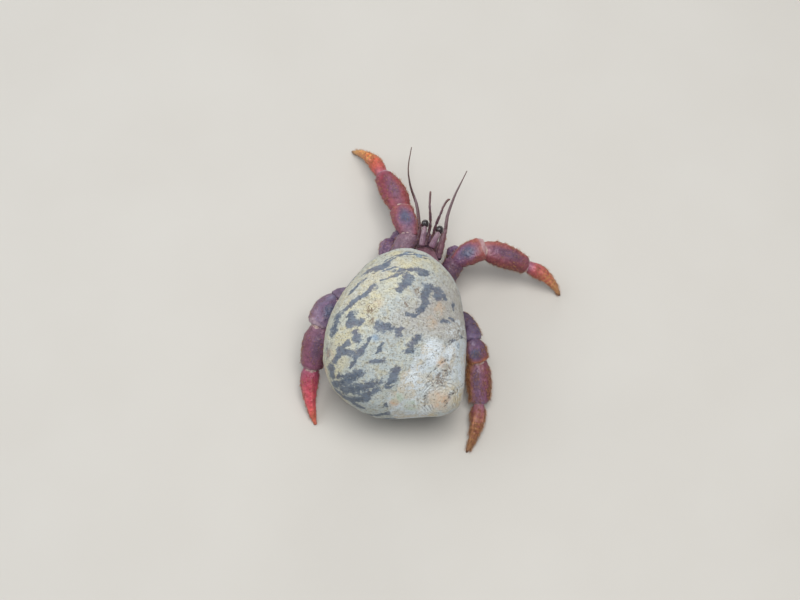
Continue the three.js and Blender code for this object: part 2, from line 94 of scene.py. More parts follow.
class Wire:
    """An output socket of a shader node, on which sums are written as plain expressions."""

    def __init__(self, tree, socket=None):
        self.tree = tree
        self.socket = socket

    def node(self, kind, inputs=None, output=0, stops=None, **settings):
        """A new node of that kind: its settings first, then values or wires for its inputs."""
        made = self.tree.nodes.new("ShaderNode" + kind)
        for name, value in settings.items():
            setattr(made, name, value)
        if stops:
            ends = made.color_ramp.elements
            for index, (place, colour) in enumerate(stops):
                stop = ends[index] if index < 2 else ends.new(place)
                stop.position = place
                stop.color = colour
        for key, value in (inputs or {}).items():
            if isinstance(value, Wire):
                self.tree.links.new(value.socket, made.inputs[key])
            else:
                made.inputs[key].default_value = value
        return Wire(self.tree, made.outputs[output])

    def sum(self, operation, *values):
        """A sum of that kind on numbers and wires."""
        return self.node("Math", dict(enumerate(values)), operation=operation)

    def __add__(self, other):
        return self.sum("ADD", self, other)

    def __radd__(self, other):
        return self.sum("ADD", other, self)

    def __sub__(self, other):
        return self.sum("SUBTRACT", self, other)

    def __rsub__(self, other):
        return self.sum("SUBTRACT", other, self)

    def __mul__(self, other):
        return self.sum("MULTIPLY", self, other)

    def __rmul__(self, other):
        return self.sum("MULTIPLY", other, self)

    def rise(self, low, high):
        """0 below low, 1 above high and a smooth climb between."""
        return self.node(
            "MapRange", {"Value": self, "From Min": low, "From Max": high},
            interpolation_type="SMOOTHSTEP")

    def place(self):
        """Where a spot is on the model."""
        return self.node("TexCoord", output="Object")

    def paint(self):
        """The colour kept on the mesh."""
        return self.node("Attribute", output="Color", attribute_name="paint")

    def attribute(self, name):
        """A number kept on the mesh under that name."""
        return self.node("Attribute", output="Fac", attribute_name=name)

    def grain(self, place, size, detail=3.0, roughness=0.5, distortion=0.0):
        """Cloudy noise from 0 to 1 whose lumps are that size, in metres of place."""
        return self.node("TexNoise", {
            "Vector": place, "Scale": 1 / size, "Detail": detail, "Roughness": roughness,
            "Distortion": distortion})

    def mix(self, amount, one, other):
        """A colour: one where amount is 0, other where it is 1."""
        return self.node(
            "Mix", {0: amount, 6: one, 7: other}, output=2, data_type="RGBA")

    def tint(self, amount, *colour):
        """This colour where amount is 0, and a screen colour where it is 1."""
        return self.mix(amount, self, srgb(*colour))

    def shade(self, amount, *colour):
        """This colour multiplied by a screen colour as far as amount goes."""
        return self.node(
            "Mix", {0: amount, 6: self, 7: srgb(*colour)}, output=2, data_type="RGBA",
            blend_type="MULTIPLY")


def new_finish(name, **sockets):
    """A Principled material with those values on its sockets, and a wire to build on."""
    finish = bpy.data.materials.new(name)
    finish.use_nodes = True
    shader = finish.node_tree.nodes["Principled BSDF"]
    for key, value in sockets.items():
        shader.inputs[key.replace("_", " ")].default_value = value
    return finish, Wire(finish.node_tree)


def feed(finish, **wires):
    """Links wires to the sockets of the finish's shader, a height by way of a Bump node."""
    tree = finish.node_tree
    shader = tree.nodes["Principled BSDF"]
    height, depth = wires.pop("height", None), wires.pop("depth", 0.0002)
    if height:
        wires["Normal"] = height.node(
            "Bump", {"Height": height, "Distance": depth, "Strength": 1.0}, output="Normal")
    for key, wire in wires.items():
        tree.links.new(wire.socket, shader.inputs[key.replace("_", " ")])


FLOOR_SIZE = 3.0
FLOOR_CLOUDS = 0.05             # size of the faint clouds in its paint


def mesh_of(shape, name):
    """A mesh with the shape that was being made, which is then let go."""
    mesh = bpy.data.meshes.new(name)
    shape.to_mesh(mesh)
    shape.free()
    return mesh


floor_shape = bmesh.new()
bmesh.ops.create_grid(floor_shape, x_segments=2, y_segments=2, size=FLOOR_SIZE / 2)
floor_mesh = mesh_of(floor_shape, "floor")
floor = in_scene("floor", floor_mesh)
floor_paint, wire = new_finish("floor_paint", Roughness=0.85)
place = wire.place()
feed(floor_paint, Base_Color=wire.mix(
    wire.grain(place, FLOOR_CLOUDS), srgb(196, 192, 185), srgb(202, 199, 193)))
floor_mesh.materials.append(floor_paint)

LIT_SPOT = Vector((0, 0, 0.02))     # what every lamp is turned to
LAMPS = {
    # name: where it hangs, how wide it is, its power in watts and its colour
    "soft_key": ((0.10, -0.10, 0.95), 0.50, 7.2, (1.0, 0.99, 0.97)),
    "wide_fill": ((-0.70, 0.05, 0.60), 0.7, 2.4, (0.92, 0.96, 1.0)),
    "front_fill": ((-0.1, 0.8, 0.35), 0.5, 1.2, (1.0, 1.0, 1.0)),
}
for name, (spot, width, power, tint) in LAMPS.items():
    lamp = bpy.data.lights.new(name, "AREA")
    lamp.size = width
    lamp.energy = power
    lamp.color = tint
    holder = in_scene(name, lamp)
    holder.location = spot
    holder.rotation_euler = (Vector(spot) - LIT_SPOT).to_track_quat("Z", "Y").to_euler()
ROOM_COLOUR = (0.93, 0.96, 1.0, 1.0)
ROOM_STRENGTH = 0.34
room = bpy.data.worlds.new("pale_room")
room.use_nodes = True
walls = room.node_tree.nodes["Background"]
walls.inputs["Color"].default_value = ROOM_COLOUR
walls.inputs["Strength"].default_value = ROOM_STRENGTH
bpy.context.scene.world = room
bpy.context.scene.view_settings.view_transform = "Standard"

# ---- Top shell ------------------------------------------------------------------------------
# One limy tube wound round an axis and growing by the same factor each turn. It is cream with
# slate flames outside, rubbed through to pearl round its old tip, and pearly inside.

TURN = 2 * math.pi
SHELL_GROWTH = 2.1              # times larger each turn
MOUTH_RADIUS = 0.0219           # from the axis to the middle of the mouth
MOUTH_DROP = 2.1                # from the tip to the middle of the mouth, in mouth radii
TUBE_LONG = 1.055               # half the tube's long axis, in mouth radii
TUBE_SHORT = 0.822              # half its short axis, in mouth radii
TUBE_LEAN = 0.494               # the long axis's lean out of the shell's own axis
LIP_SLANT = 0.7                 # how far the lip slopes back across the tube
SHELL_SUNK = 0.00035            # depth of the small flat that the shell rests on
SPIRE_SWELL = 0.0009            # how much thicker the turns near the tip are
SPIRE_MIDDLE = 0.004            # within this of the axis the swelling dies away
TIP_BLUNTED = 0.0085            # length of the old tip that is rubbed round
TURN_REACH = 1.6                # how far the skin is from the axis, in mouth radii, on average
ROUND_REACH = 0.94              # how far it is from the tube's own middle
FLATTENED = (
    # a way out of the shell, how deep the stretch there that is a little flattened reaches,
    # and how far its outermost point is pressed in
    ((-0.55, -0.77, -0.29), 0.011, 0.0028), ((-0.978, -0.208, 0.0), 0.009, 0.0014),
    ((-0.74, 0.59, 0.33), 0.014, 0.0020), ((0.55, 0.77, 0.29), 0.011, 0.0012),
    ((0.978, 0.208, 0.0), 0.010, 0.0014),
    ((0.19, -0.894, -0.407), 0.011, 0.0026))
SHELL_YAW, SHELL_PITCH, SHELL_ROLL = map(math.radians, (-36.2, 4.9, 40.4))


def smooth(values, low, high):
    """0 below low, 1 above high and a smooth climb between, for an array."""
    share = np.clip((values - low) / (high - low), 0, 1)
    return share * share * (3 - 2 * share)


def oval(around):
    """The plain oval of the tube, as distance out from the axis and height along it."""
    long, short = TUBE_LONG * np.cos(around), TUBE_SHORT * np.sin(around)
    out = 1 + long * math.sin(TUBE_LEAN) + short * math.cos(TUBE_LEAN)
    high = -MOUTH_DROP - long * math.cos(TUBE_LEAN) + short * math.sin(TUBE_LEAN)
    return out, high


oval_out, oval_high = oval(np.arange(0, TURN, 0.01))
widest = int(np.argmax(np.arctan2(oval_out, -oval_high)))
cone_lean = math.atan2(oval_out[widest], -oval_high[widest])
cone_reach = math.hypot(oval_out[widest], oval_high[widest])


def tube_outline(around, turns):
    """The oval, with the groove at each seam filled out to the straight cone of the turns."""
    out, high = oval(around)
    lean, reach = np.arctan2(out, -high), np.hypot(out, high)
    overlaid = (1 - smooth(turns, -0.86, -0.78)) * (1 - smooth(reach / cone_reach, 1.43, 1.62))
    filled = np.where(reach < cone_reach, 1.0, overlaid) * smooth(lean, 0.35, 0.62)
    lean = lean + filled * (cone_lean - lean)
    return reach * np.sin(lean), -reach * np.cos(lean)


# Rings are close together where the shell is broad and far apart towards its tip. The last ones
# round the lip over and run back inside as the wall of the mouth.
RING_CORNERS = 180
RING_SPACING = (
    # rings on a stretch, and the turn, share of the full outline and side that it ends at
    (56, -3.2, 1.0, 0), (132, -1.25, 1.0, 0), (112, -0.48, 1.0, 0), (142, 0.0, 1.0, 0),
    (1, 0.004, 0.985, 0), (1, 0.007, 0.96, 0), (1, 0.006, 0.93, 1), (1, 0.0, 0.905, 1),
    (1, -0.012, 0.885, 1), (34, -0.42, 0.86, 1))
APEX_TURN = -5.2

ring_turns, ring_shares, ring_sides = [APEX_TURN], [1.0], [0]
for count, turn, share, side in RING_SPACING:
    ring_turns += list(np.linspace(ring_turns[-1], turn, count + 1)[1:])
    ring_shares += list(np.linspace(ring_shares[-1], share, count + 1)[1:])
    ring_sides += [side] * count
shell_shape = bmesh.new()
bmesh.ops.create_grid(
    shell_shape, x_segments=len(ring_turns) - 1, y_segments=RING_CORNERS, size=0.5)
shell_mesh = mesh_of(shell_shape, "shell_surface")


def unit(vectors):
    """The same directions with a length of one."""
    return vectors / np.maximum(np.linalg.norm(vectors, axis=-1, keepdims=True), 1e-12)


def read_points(mesh):
    """The mesh's corners as an array."""
    points = np.empty(len(mesh.vertices) * 3)
    mesh.vertices.foreach_get("co", points)
    return points.reshape(-1, 3)


def write_points(mesh, points):
    """Moves the mesh's corners to those points."""
    mesh.vertices.foreach_set("co", points.astype(np.float32).ravel())
    mesh.update()


def settle(mesh, points):
    """The same, once every point that is below the floor is raised to it."""
    points[:, 2] = np.maximum(points[:, 2], 0)
    write_points(mesh, points)


def read_normals(mesh):
    """The way out of the mesh at each corner."""
    normals = np.empty(len(mesh.vertices) * 3)
    mesh.vertex_normals.foreach_get("vector", normals)
    return normals.reshape(-1, 3)


def read_numbers(mesh, name):
    """The numbers kept on the mesh under that name."""
    values = np.empty(len(mesh.vertices))
    mesh.attributes[name].data.foreach_get("value", values)
    return values


def keep_numbers(mesh, name, values):
    """Keeps a number for each corner on the mesh, for its material to read."""
    kept = mesh.attributes.get(name) or mesh.attributes.new(name, "FLOAT", "POINT")
    kept.data.foreach_set("value", np.asarray(values, np.float32))


def lumps(points, size, octaves=3, seed=0.0):
    """Cloudy noise from about -1 to 1 at each point, whose largest lumps are that size."""
    shift = Vector((seed, 2.3 * seed, -1.7 * seed))
    return np.array([
        noise.fractal(Vector(point) / size + shift, 1.0, 2.0, octaves) for point in points])


# The flat grid is rolled up: its length runs along the turns and its width round the tube.
# The lip slopes back, so each corner slides along its own spiral line of growth.
flat = read_points(shell_mesh) + 0.5
ring_here = np.rint(flat[:, 0] * (len(ring_turns) - 1)).astype(int)
around = np.rint(flat[:, 1] * RING_CORNERS) % RING_CORNERS * TURN / RING_CORNERS
turns = np.array(ring_turns)[ring_here]
shares = np.array(ring_shares)[ring_here][:, None]
inside = np.array(ring_sides, float)[ring_here]
out, high = tube_outline(around, turns)
middle_out, middle_high = 1.0, -MOUTH_DROP
out = middle_out + (out - middle_out) * shares[:, 0]
high = middle_high + (high - middle_high) * shares[:, 0]
slide = math.tan(LIP_SLANT) * (high + MOUTH_DROP) / np.maximum(out, 0.5)
wound = turns * TURN + slide
size_here = MOUTH_RADIUS * np.exp(math.log(SHELL_GROWTH) / TURN * wound)
local = size_here[:, None] * np.stack(
    [out * np.cos(wound), -out * np.sin(wound), high], 1)

shell_axis = Vector((
    math.cos(SHELL_PITCH) * math.cos(SHELL_YAW),
    math.cos(SHELL_PITCH) * math.sin(SHELL_YAW),
    math.sin(SHELL_PITCH)))
shell_level = Vector((0, 0, 1)).cross(shell_axis).normalized()
shell_mouth = Matrix.Rotation(SHELL_ROLL, 3, shell_axis) @ shell_level
shell_turned = np.array([shell_mouth, shell_axis.cross(shell_mouth), shell_axis])
points = local @ shell_turned
write_points(shell_mesh, points)
for name, values in (("grown", turns), ("around", around), ("inner", inside)):
    keep_numbers(shell_mesh, name, values)
shell_shape = bmesh.new()
shell_shape.from_mesh(shell_mesh)
bmesh.ops.remove_doubles(shell_shape, verts=shell_shape.verts, dist=1e-7)
bmesh.ops.holes_fill(shell_shape, edges=shell_shape.edges)
bmesh.ops.recalc_face_normals(shell_shape, faces=shell_shape.faces)
shell_shape.to_mesh(shell_mesh)
shell_shape.free()
points = read_points(shell_mesh)
turns = read_numbers(shell_mesh, "grown")
around = read_numbers(shell_mesh, "around")
inside = read_numbers(shell_mesh, "inner")
size_here = np.linalg.norm(points @ shell_turned.T, axis=1)
size_here /= np.hypot(*tube_outline(around, turns))

# The old tip is rubbed to a blunt dome, and the shell is thick with layers near it.
along_axis = points @ np.array(shell_axis)
from_axis = points - np.outer(along_axis, shell_axis)
doublings = np.log(np.maximum(-along_axis, 1e-5) / (MOUTH_RADIUS * MOUTH_DROP))
turns_up = -doublings / math.log(SHELL_GROWTH)
old_turns = smooth(turns_up, 0.55, 1.1)[:, None] * (1 - inside[:, None])
outer_side = np.clip(unit(from_axis) @ np.array((0.94, 0.33, 0.1)), 0, 1)[:, None]
off_axis = smooth(np.linalg.norm(from_axis, axis=1), 0.0, SPIRE_MIDDLE)[:, None]
points += old_turns * SPIRE_SWELL * (
    (0.75 + 1.0 * outer_side) * off_axis * unit(from_axis) + 2.4 * np.array(shell_axis))
blunt = np.clip(1 + along_axis / TIP_BLUNTED, 0, 1)[:, None]
points -= np.array(shell_axis) * blunt ** 2 * TIP_BLUNTED / 2
shell_low, shell_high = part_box("shell")
middle = (points.min(0) + points.max(0)) / 2
for way, reach, pressed in FLATTENED:
    way = unit(np.array(way))
    depth = np.clip(1 - (points @ way).max() / reach + points @ way / reach, 0, 1)
    points -= np.outer(pressed * depth ** 2, way)
points += np.array((shell_low + shell_high) / 2) - middle
points[:, 2] += -SHELL_SUNK - points[:, 2].min()
write_points(shell_mesh, points)

# The painted strokes wander a millimetre or so off their lines, along the turn and round it.
wander_along, wander_round = (
    0.0011 * lumps(points, 0.0042, 3, seed) + 0.0006 * lumps(points, 0.0016, 2, small_seed)
    for seed, small_seed in ((41.0, 43.0), (47.0, 53.0)))

# Slate flames: half breadth in mm, then turns back from the lip and degrees round the tube.
FLAMES = [
    (1.7, [(-0.060, 24), (-0.060, 36), (-0.054, 39)]),
    (0.6, [(-0.054, 38), (-0.038, 42), (-0.024, 47), (-0.018, 58), (-0.016, 68)]),
    (0.5, [(-0.042, 34), (-0.030, 40), (-0.014, 50), (-0.008, 62)]),
    (0.6, [(-0.074, 44), (-0.060, 54)]),
    (0.8, [(-0.096, 53), (-0.088, 57), (-0.081, 61)]),
    (1.5, [(-0.073, 59), (-0.061, 66), (-0.052, 76)]),
    (1.0, [(-0.066, 76), (-0.058, 80)]),
    (1.3, [(-0.078, 68), (-0.098, 75), (-0.111, 76)]),
    (1.4, [(-0.078, 91), (-0.100, 95), (-0.116, 102)]),
    (1.2, [(-0.116, 102), (-0.136, 105), (-0.155, 104), (-0.158, 100)]),
    (1.5, [(-0.080, 94), (-0.074, 99), (-0.092, 104), (-0.076, 108)]),
    (1.1, [(-0.064, 118), (-0.080, 125)]),
    (1.2, [(-0.138, 127), (-0.130, 130)]),
    (1.2, [(-0.114, 132), (-0.108, 134)]),
    (1.4, [(-0.112, 51), (-0.128, 46), (-0.140, 41), (-0.156, 40)]),
    (0.9, [(-0.090, 29), (-0.112, 30)]),
    (1.8, [(-0.166, 32), (-0.200, 38)]),
    (1.5, [(-0.168, 49), (-0.185, 55), (-0.186, 65)]),
    (1.0, [(-0.200, 65), (-0.218, 72)]),
    (1.8, [(-0.190, 83), (-0.193, 93)]),
    (1.1, [(-0.220, 83), (-0.240, 82), (-0.264, 80), (-0.280, 80)]),
    (1.4, [(-0.226, 63), (-0.242, 59), (-0.262, 57)]),
    (1.5, [(-0.248, 61), (-0.245, 73)]),
    (1.4, [(-0.234, 36), (-0.250, 43)]),
    (1.7, [(-0.278, 54), (-0.302, 57)]),
    (2.1, [(-0.326, 63), (-0.312, 82), (-0.300, 92)]),
    (3.0, [(-0.340, 80), (-0.342, 97), (-0.332, 107)]),
    (2.0, [(-0.374, 85), (-0.372, 104), (-0.352, 111)]),
    (0.7, [(-0.232, 100), (-0.250, 99)]),
    (1.3, [(-0.270, 100), (-0.271, 107)]),
    (1.4, [(-0.292, 123), (-0.318, 126), (-0.352, 128)]),
    (1.1, [(-0.190, 102), (-0.210, 107)]),
    (1.5, [(-0.202, 121), (-0.226, 124), (-0.250, 126)]),
    (1.1, [(-0.410, 131), (-0.468, 143)]),
    (1.5, [(-0.350, 58), (-0.378, 84), (-0.412, 100)]),
    (1.6, [(-0.302, 66), (-0.300, 84)]),
]
# Stains, rubbed spots, painted glints and painted sheen: radius in mm, turns, degrees round.
STAINS_AND_SHEEN = {
    "rusty": [(5.6, -2.238, 90), (4.0, -1.31, 135), (3.0, -1.126, 91), (2.8, -0.43, 143),
              (3.4, -2.60, 110)],
    "tawny": [(2.6, -0.145, 68), (4.4, -0.113, 117), (3.4, -0.155, 122), (4.0, -0.25, 44),
              (3.6, -0.29, 36)],
    "ochre": [(5.6, -3.03, 84), (4.4, -2.092, 110), (3.2, -2.40, 60)],
    "greenish": [(4.4, -1.34, 93), (3.6, -0.416, 147)],
    # blue spots, and at -0.016 turns two painted glints on the lip
    "blue_spots_and_glints": [(2.0, -0.216, 88), (1.6, -0.016, 59), (1.2, -0.016, 47), (2.2, -1.02, 84)],
    # pale nacre, partly painted sheen on the rubbed pearl
    "bright": [(4.8, -0.228, 142), (4.6, -0.234, 151), (4.4, -0.266, 158), (3.4, -1.42, 131),
               (3.0, -0.340, 152), (3.4, -1.074, 82)],
    "brown_specks": [(3.2, -0.154, 64), (2.6, -0.178, 72), (2.0, -0.140, 90),
                     (4.4, -1.21, 120), (2.4, -0.10, 88), (4.0, -1.152, 116)],
    "chipped": [(5.4, -0.114, 145), (4.6, -0.080, 148), (4.6, -0.150, 142), (6.4, -1.038, 79),
                (6.0, -1.074, 82), (5.6, -1.152, 116), (5.6, -1.21, 120), (5.0, -1.238, 108),
                (5.0, -1.32, 104), (4.4, -2.092, 110), (4.4, -0.340, 148)],
}

# The spot near the old tip that is worn down through many layers: turns and angle round.
WORN_SPOT = (-2.228, math.radians(90))
LAYER_MM = 1.25                 # from the edge of one layer to the next there

# Fine dark lines round the old tip and under the lip, given as flames are: cracks and layer edges, cut in
# a little and painted dark, partly as their own colour and partly as painted shade beside the ridges.
DARK_LINES = [
    (0.5, [(-1.152, 116), (-1.192, 102), (-1.232, 102), (-1.288, 112), (-1.36, 124)]),
    (0.5, [(-1.05, 108), (-1.10, 98), (-1.16, 92), (-1.24, 90)]),
    (0.5, [(-2.05, 104), (-2.15, 112), (-2.25, 118), (-2.35, 128)]),
    (0.4, [(-1.90, 92), (-2.02, 96), (-2.14, 100), (-2.26, 108)]),
    (0.4, [(-0.30, 152), (-0.22, 155), (-0.12, 156)]),
    (0.35, [(-0.016, 20), (-0.016, 75)]),
    (0.3, [(-0.028, 14), (-0.030, 66)]),
]


def from_stroke(stroke_turns, stroke_around):
    """How far each corner of the shell is from a spot on its skin, along it, in metres."""
    gap_along = (turns - stroke_turns) * TURN * TURN_REACH * size_here
    round_gap = (around - stroke_around + math.pi) % TURN - math.pi
    return gap_along, round_gap * ROUND_REACH * size_here


def stroke_field(half_breadth, stroke):
    """1 on a stroke's own line, 0 at its edge and below 0 outside it."""
    near = np.full(len(turns), 1.0)
    spots = [from_stroke(turn, math.radians(degrees)) for turn, degrees in stroke]
    spots = [(across + wander_along, down + wander_round) for across, down in spots]
    for (ax, ay), (bx, by) in zip(spots, spots[1:]):
        dx, dy = ax - bx, ay - by
        share = np.clip((ax * dx + ay * dy) / np.maximum(dx * dx + dy * dy, 1e-12), 0, 1)
        near = np.minimum(near, np.hypot(ax - share * dx, ay - share * dy))
    return np.clip(1 - near / (half_breadth * 0.001), -1, 1)


degrees_round = np.degrees(around)
drawn = np.max([stroke_field(*flame) for flame in FLAMES], axis=0)
seen = smooth(turns, -0.46, -0.41) * smooth(degrees_round, 0, 14) * (1 - smooth(degrees_round, 148, 160))
zigzag = np.abs((degrees_round / 34 + lumps(points, 0.02, 2, 3.0)) % 2 - 1)
stripes = np.sin(TURN * (turns * 15 + 0.55 * zigzag + 0.35 * lumps(points, 0.014, 2, 8.0)))
flames = seen * drawn + (1 - seen) * (0.9 * stripes - 0.25 + 0.4 * lumps(points, 0.006, 2, 5.0))
keep_numbers(shell_mesh, "flame_mark", flames)

# The outer layer is rubbed off round the tip, and along the top of the last turn.
edge_wander = 9 * lumps(points, 0.006, 3, 11.0)
rubbed = smooth(degrees_round + edge_wander, 131, 141) * (1 - smooth(turns, -0.24, -0.19))
rubbed = np.maximum(rubbed, 1 - smooth(turns + 0.002 * edge_wander, -0.93, -0.88))
keep_numbers(shell_mesh, "rubbed", rubbed)
for stain_or_sheen, spots in STAINS_AND_SHEEN.items():
    field = np.zeros(len(turns))
    for radius, turn, degrees in spots:
        spot = points[np.argmin(np.hypot(*from_stroke(turn, math.radians(degrees))) + inside)]
        gap = np.linalg.norm(points - spot, axis=1)
        field = np.maximum(field, 1 - smooth(gap, 0.3 * radius * 0.001, radius * 0.001))
    keep_numbers(shell_mesh, stain_or_sheen, field)
worn_spot = points[np.argmin(np.hypot(*from_stroke(*WORN_SPOT)) + inside)]
keep_numbers(shell_mesh, "from_worn_spot", np.linalg.norm(points - worn_spot, axis=1) * 1000)

# Relief: lines of growth along the lip, low cords along the turns, pits, and the rubbed step.
GROWTH_LINE, CORD, CRACK, DENT = 0.00012, 0.00005, 0.00012, 0.00026
PIT, RUBBED_OFF, LIP_LAYER = 0.00035, 0.00022, 0.00016
LIP_LAYERS = 130                # layers at the lip in a whole turn
CORDS_ROUND = 24                # cords round the tube
FULL_RELIEF = 0.008             # where the shell is smaller than this, its relief is lower

growth_lines = np.array([
    noise.fractal(Vector((turn * 120 * scale, degrees / 55, 3.0)), 0.8, 2.0, 4)
    for turn, degrees, scale in zip(turns, degrees_round, SHELL_GROWTH ** (turns * 0.6))])
cords = np.cos(around * CORDS_ROUND + 1.5 * lumps(points, 0.03, 1, 2.0))
dents = lumps(points, 0.009, 3, 21.0)
pits = np.clip(lumps(points, 0.0022, 3, 31.0) - 0.35, 0, 1)
line_field = np.max([stroke_field(*line) for line in DARK_LINES], axis=0)
drab = smooth(degrees_round, 70, 112) * (1 - smooth(-turns, 0.16, 0.24))
near_lip = smooth(turns, -0.17, -0.13) * (1 - smooth(turns, -0.06, -0.02))
drab = np.maximum(drab, 0.32 * near_lip * (1 - smooth(degrees_round, 50, 60)))
pale = smooth(degrees_round + edge_wander, 58, 84) * (1 - 0.5 * smooth(turns, -0.06, -0.03))
line_field = np.clip(line_field + 0.5 * lumps(points, 0.002, 3, 17.0), 0, 1)
for name, values in (("drab", drab), ("pale", pale), ("dark_line", line_field)):
    keep_numbers(shell_mesh, name, values)
relief = GROWTH_LINE * growth_lines * (1 - 0.4 * rubbed) + CORD * cords * (1 - rubbed)
relief -= CRACK * line_field
relief += DENT * dents - PIT * pits * (0.35 + 0.65 * rubbed) - RUBBED_OFF * rubbed
relief += LIP_LAYER * smooth(turns, -0.05, -0.01) * np.sin(TURN * turns * LIP_LAYERS)
relief *= (1 - inside) * np.minimum(1, size_here / FULL_RELIEF)
points = points + read_normals(shell_mesh) * relief[:, None]
settle(shell_mesh, points)
for polygon in shell_mesh.polygons:
    polygon.use_smooth = True

shell_lime, wire = new_finish("shell_lime", Roughness=0.6, Coat_Roughness=0.25)
place = wire.place()
flame, worn = wire.attribute("flame_mark"), wire.attribute("rubbed")
hollow = wire.attribute("inner")
turn_line, round_line = wire.attribute("grown"), wire.attribute("around")
clouds = wire.grain(place, 0.008, 5.0, 0.65)
patches = wire.grain(place, 0.0032, 4.0, 0.6, 0.6)
fine = wire.grain(place, 0.0012, 5.0, 0.7)
flecks = wire.grain(place, 0.0005, 3.0, 0.6)
along_lip = wire.node("CombineXYZ", {0: turn_line * 0.26, 1: round_line * 0.008, 2: 0.0})
streaks = wire.grain(along_lip, 0.0009, 4.0, 0.6, 0.4)
chalk = wire.mix(clouds.rise(0.42, 0.56), srgb(187, 190, 178), srgb(203, 197, 166))
chalk = chalk.tint(patches.rise(0.47, 0.58) * 0.65, 182, 183, 172)
chalk = chalk.tint(wire.attribute("pale") * (0.45 + 0.5 * patches.rise(0.38, 0.54)), 178, 188, 190)
chalk = chalk.tint(wire.attribute("drab") * (0.45 + 0.8 * patches), 180, 176, 172)
chalk = chalk.tint(streaks.rise(0.50, 0.62) * 0.6, 222, 225, 216)
chalk = chalk.tint(fine.rise(0.50, 0.62) * 0.6, 154, 144, 122)
chalk = chalk.tint(streaks.rise(0.58, 0.70) * 0.6, 122, 120, 112)
ragged = flame + 2.6 * (fine - 0.5) + 1.7 * (patches - 0.5)
slate = wire.mix(clouds.rise(0.42, 0.58), srgb(64, 80, 106), srgb(92, 95, 116))
slate = slate.tint((-0.27 - turn_line).rise(0.0, 0.08) * 0.6, 64, 82, 106)
slate = slate.tint(patches.rise(0.44, 0.62) * 0.8, 106, 118, 136)
slate = slate.tint(fine.rise(0.46, 0.66) * 0.6, 116, 127, 136)
slate = slate.tint(streaks.rise(0.50, 0.66) * 0.35, 150, 152, 150)
outer_skin = wire.mix(ragged.rise(-0.28, 0.42) * 0.92, chalk, slate)
pearl = wire.mix(clouds.rise(0.40, 0.58), srgb(198, 206, 206), srgb(204, 196, 178))
pearl = pearl.tint(patches.rise(0.48, 0.58) * 0.75, 208, 220, 230)
pearl = pearl.tint(streaks.rise(0.50, 0.64) * 0.6, 232, 239, 243)
pearl = pearl.tint(fine.rise(0.50, 0.64) * 0.5, 162, 158, 146)
pearl = pearl.tint(streaks.rise(0.60, 0.70) * 0.6, 112, 112, 110)
skin = wire.mix((worn + 0.8 * (fine - 0.5)).rise(0.35, 0.65), outer_skin, pearl)
STAIN_AND_SHEEN_LOOKS = (
    # mark, the least of it that shows, how much more shows on the grain, the grain, and colour
    ("rusty", 0.25, 0.75, patches.rise(0.40, 0.60), (208, 176, 144)),
    ("tawny", 0.15, 0.5, patches.rise(0.42, 0.60), (204, 178, 150)),
    ("ochre", 0.3, 0.6, fine.rise(0.40, 0.60), (200, 180, 132)),
    ("greenish", 0.15, 0.7, patches.rise(0.40, 0.60), (184, 198, 176)),
    # the blue spots, and the painted glints on the lip
    ("blue_spots_and_glints", 0.5, 0.5, fine, (138, 164, 190)),
    # pale nacre, partly painted sheen
    ("bright", 0.3, 0.7, streaks.rise(0.40, 0.58), (230, 240, 248)))
for stain_or_sheen, least, more, grain, colour in STAIN_AND_SHEEN_LOOKS:
    skin = skin.tint(wire.attribute(stain_or_sheen) * (least + more * grain), *colour)
chips = wire.grain(place, 0.0016, 3.0, 0.7, 0.8)
chipped = wire.attribute("chipped")
skin = skin.tint(chipped * chips.rise(0.50, 0.58) * 0.85, 222, 231, 236)
skin = skin.tint(chipped * (1 - chips.rise(0.36, 0.44)) * 0.75, 104, 102, 106)
skin = skin.tint(wire.attribute("brown_specks") * chips.rise(0.48, 0.54) * 0.85, 112, 88, 70)
from_spot = wire.attribute("from_worn_spot")
layers = wire.sum("SINE", from_spot * (TURN / LAYER_MM) + 22 * clouds + 6 * patches)
layered = from_spot.rise(2.6, 5.0) * (1 - from_spot.rise(7.5, 12.0))
layered *= 0.1 + 0.9 * patches.rise(0.42, 0.58)
skin = skin.tint(layered * layers.rise(0.1, 0.8) * 0.6, 128, 122, 112)
skin = skin.tint(layered * (0 - layers).rise(0.1, 0.8) * 0.5, 222, 224, 214)
skin = skin.tint(turn_line.rise(-0.014, -0.003) * (0.35 + 0.6 * streaks), 184, 190, 190)
# The fine lines are painted dark: partly their own colour, partly painted shade along the ridges and
# layer edges.
skin = skin.tint(wire.attribute("dark_line") * (0.15 + 0.85 * fine.rise(0.44, 0.56)), 84, 80, 78)
skin = skin.tint(flecks.rise(0.56, 0.68) * 0.6, 94, 86, 74)
nacre = wire.mix(clouds, srgb(206, 214, 212), srgb(214, 200, 196))
skin = wire.mix(hollow, skin, nacre)
feed(
    shell_lime, Base_Color=skin, Roughness=0.66 - 0.2 * worn - 0.28 * hollow,
    Coat_Weight=0.15 * worn + 0.6 * hollow,
    height=fine + 0.6 * streaks + 0.4 * flecks - 0.7 * flecks.rise(0.58, 0.7)
    - 0.3 * layered * layers, depth=0.00032)


def show(name, mesh, finish, slot, *stands_for):
    """Makes the finished mesh a piece of the model, in place of the CAD nodes it stands for."""
    piece = in_scene(name, mesh)
    mesh.materials.clear()
    mesh.materials.append(finish)
    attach(piece, "root")
    if stands_for:
        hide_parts(*stands_for)
    return piece


show("top_shell", shell_mesh, shell_lime, "shell", "shell")

# ---- Walking legs ---------------------------------------------------------------------------
# Four legs of five stiff limy plates each, broad where one overlaps the next. They are dusky
# crimson and violet, with a slate oval on the middle plates and an orange-red last one.

LEGS = ("front_left", "front_right", "rear_left", "rear_right")
SEGMENTS = ("coxa", "merus", "carpus", "propodus", "dactyl")
UP = np.array((0.0, 0.0, 1.0))
CORNER_MERGE = 1e-6             # CAD corners closer than this are one corner
FACING_REACH = 0.0016           # how much farther than the nearest two corners still face


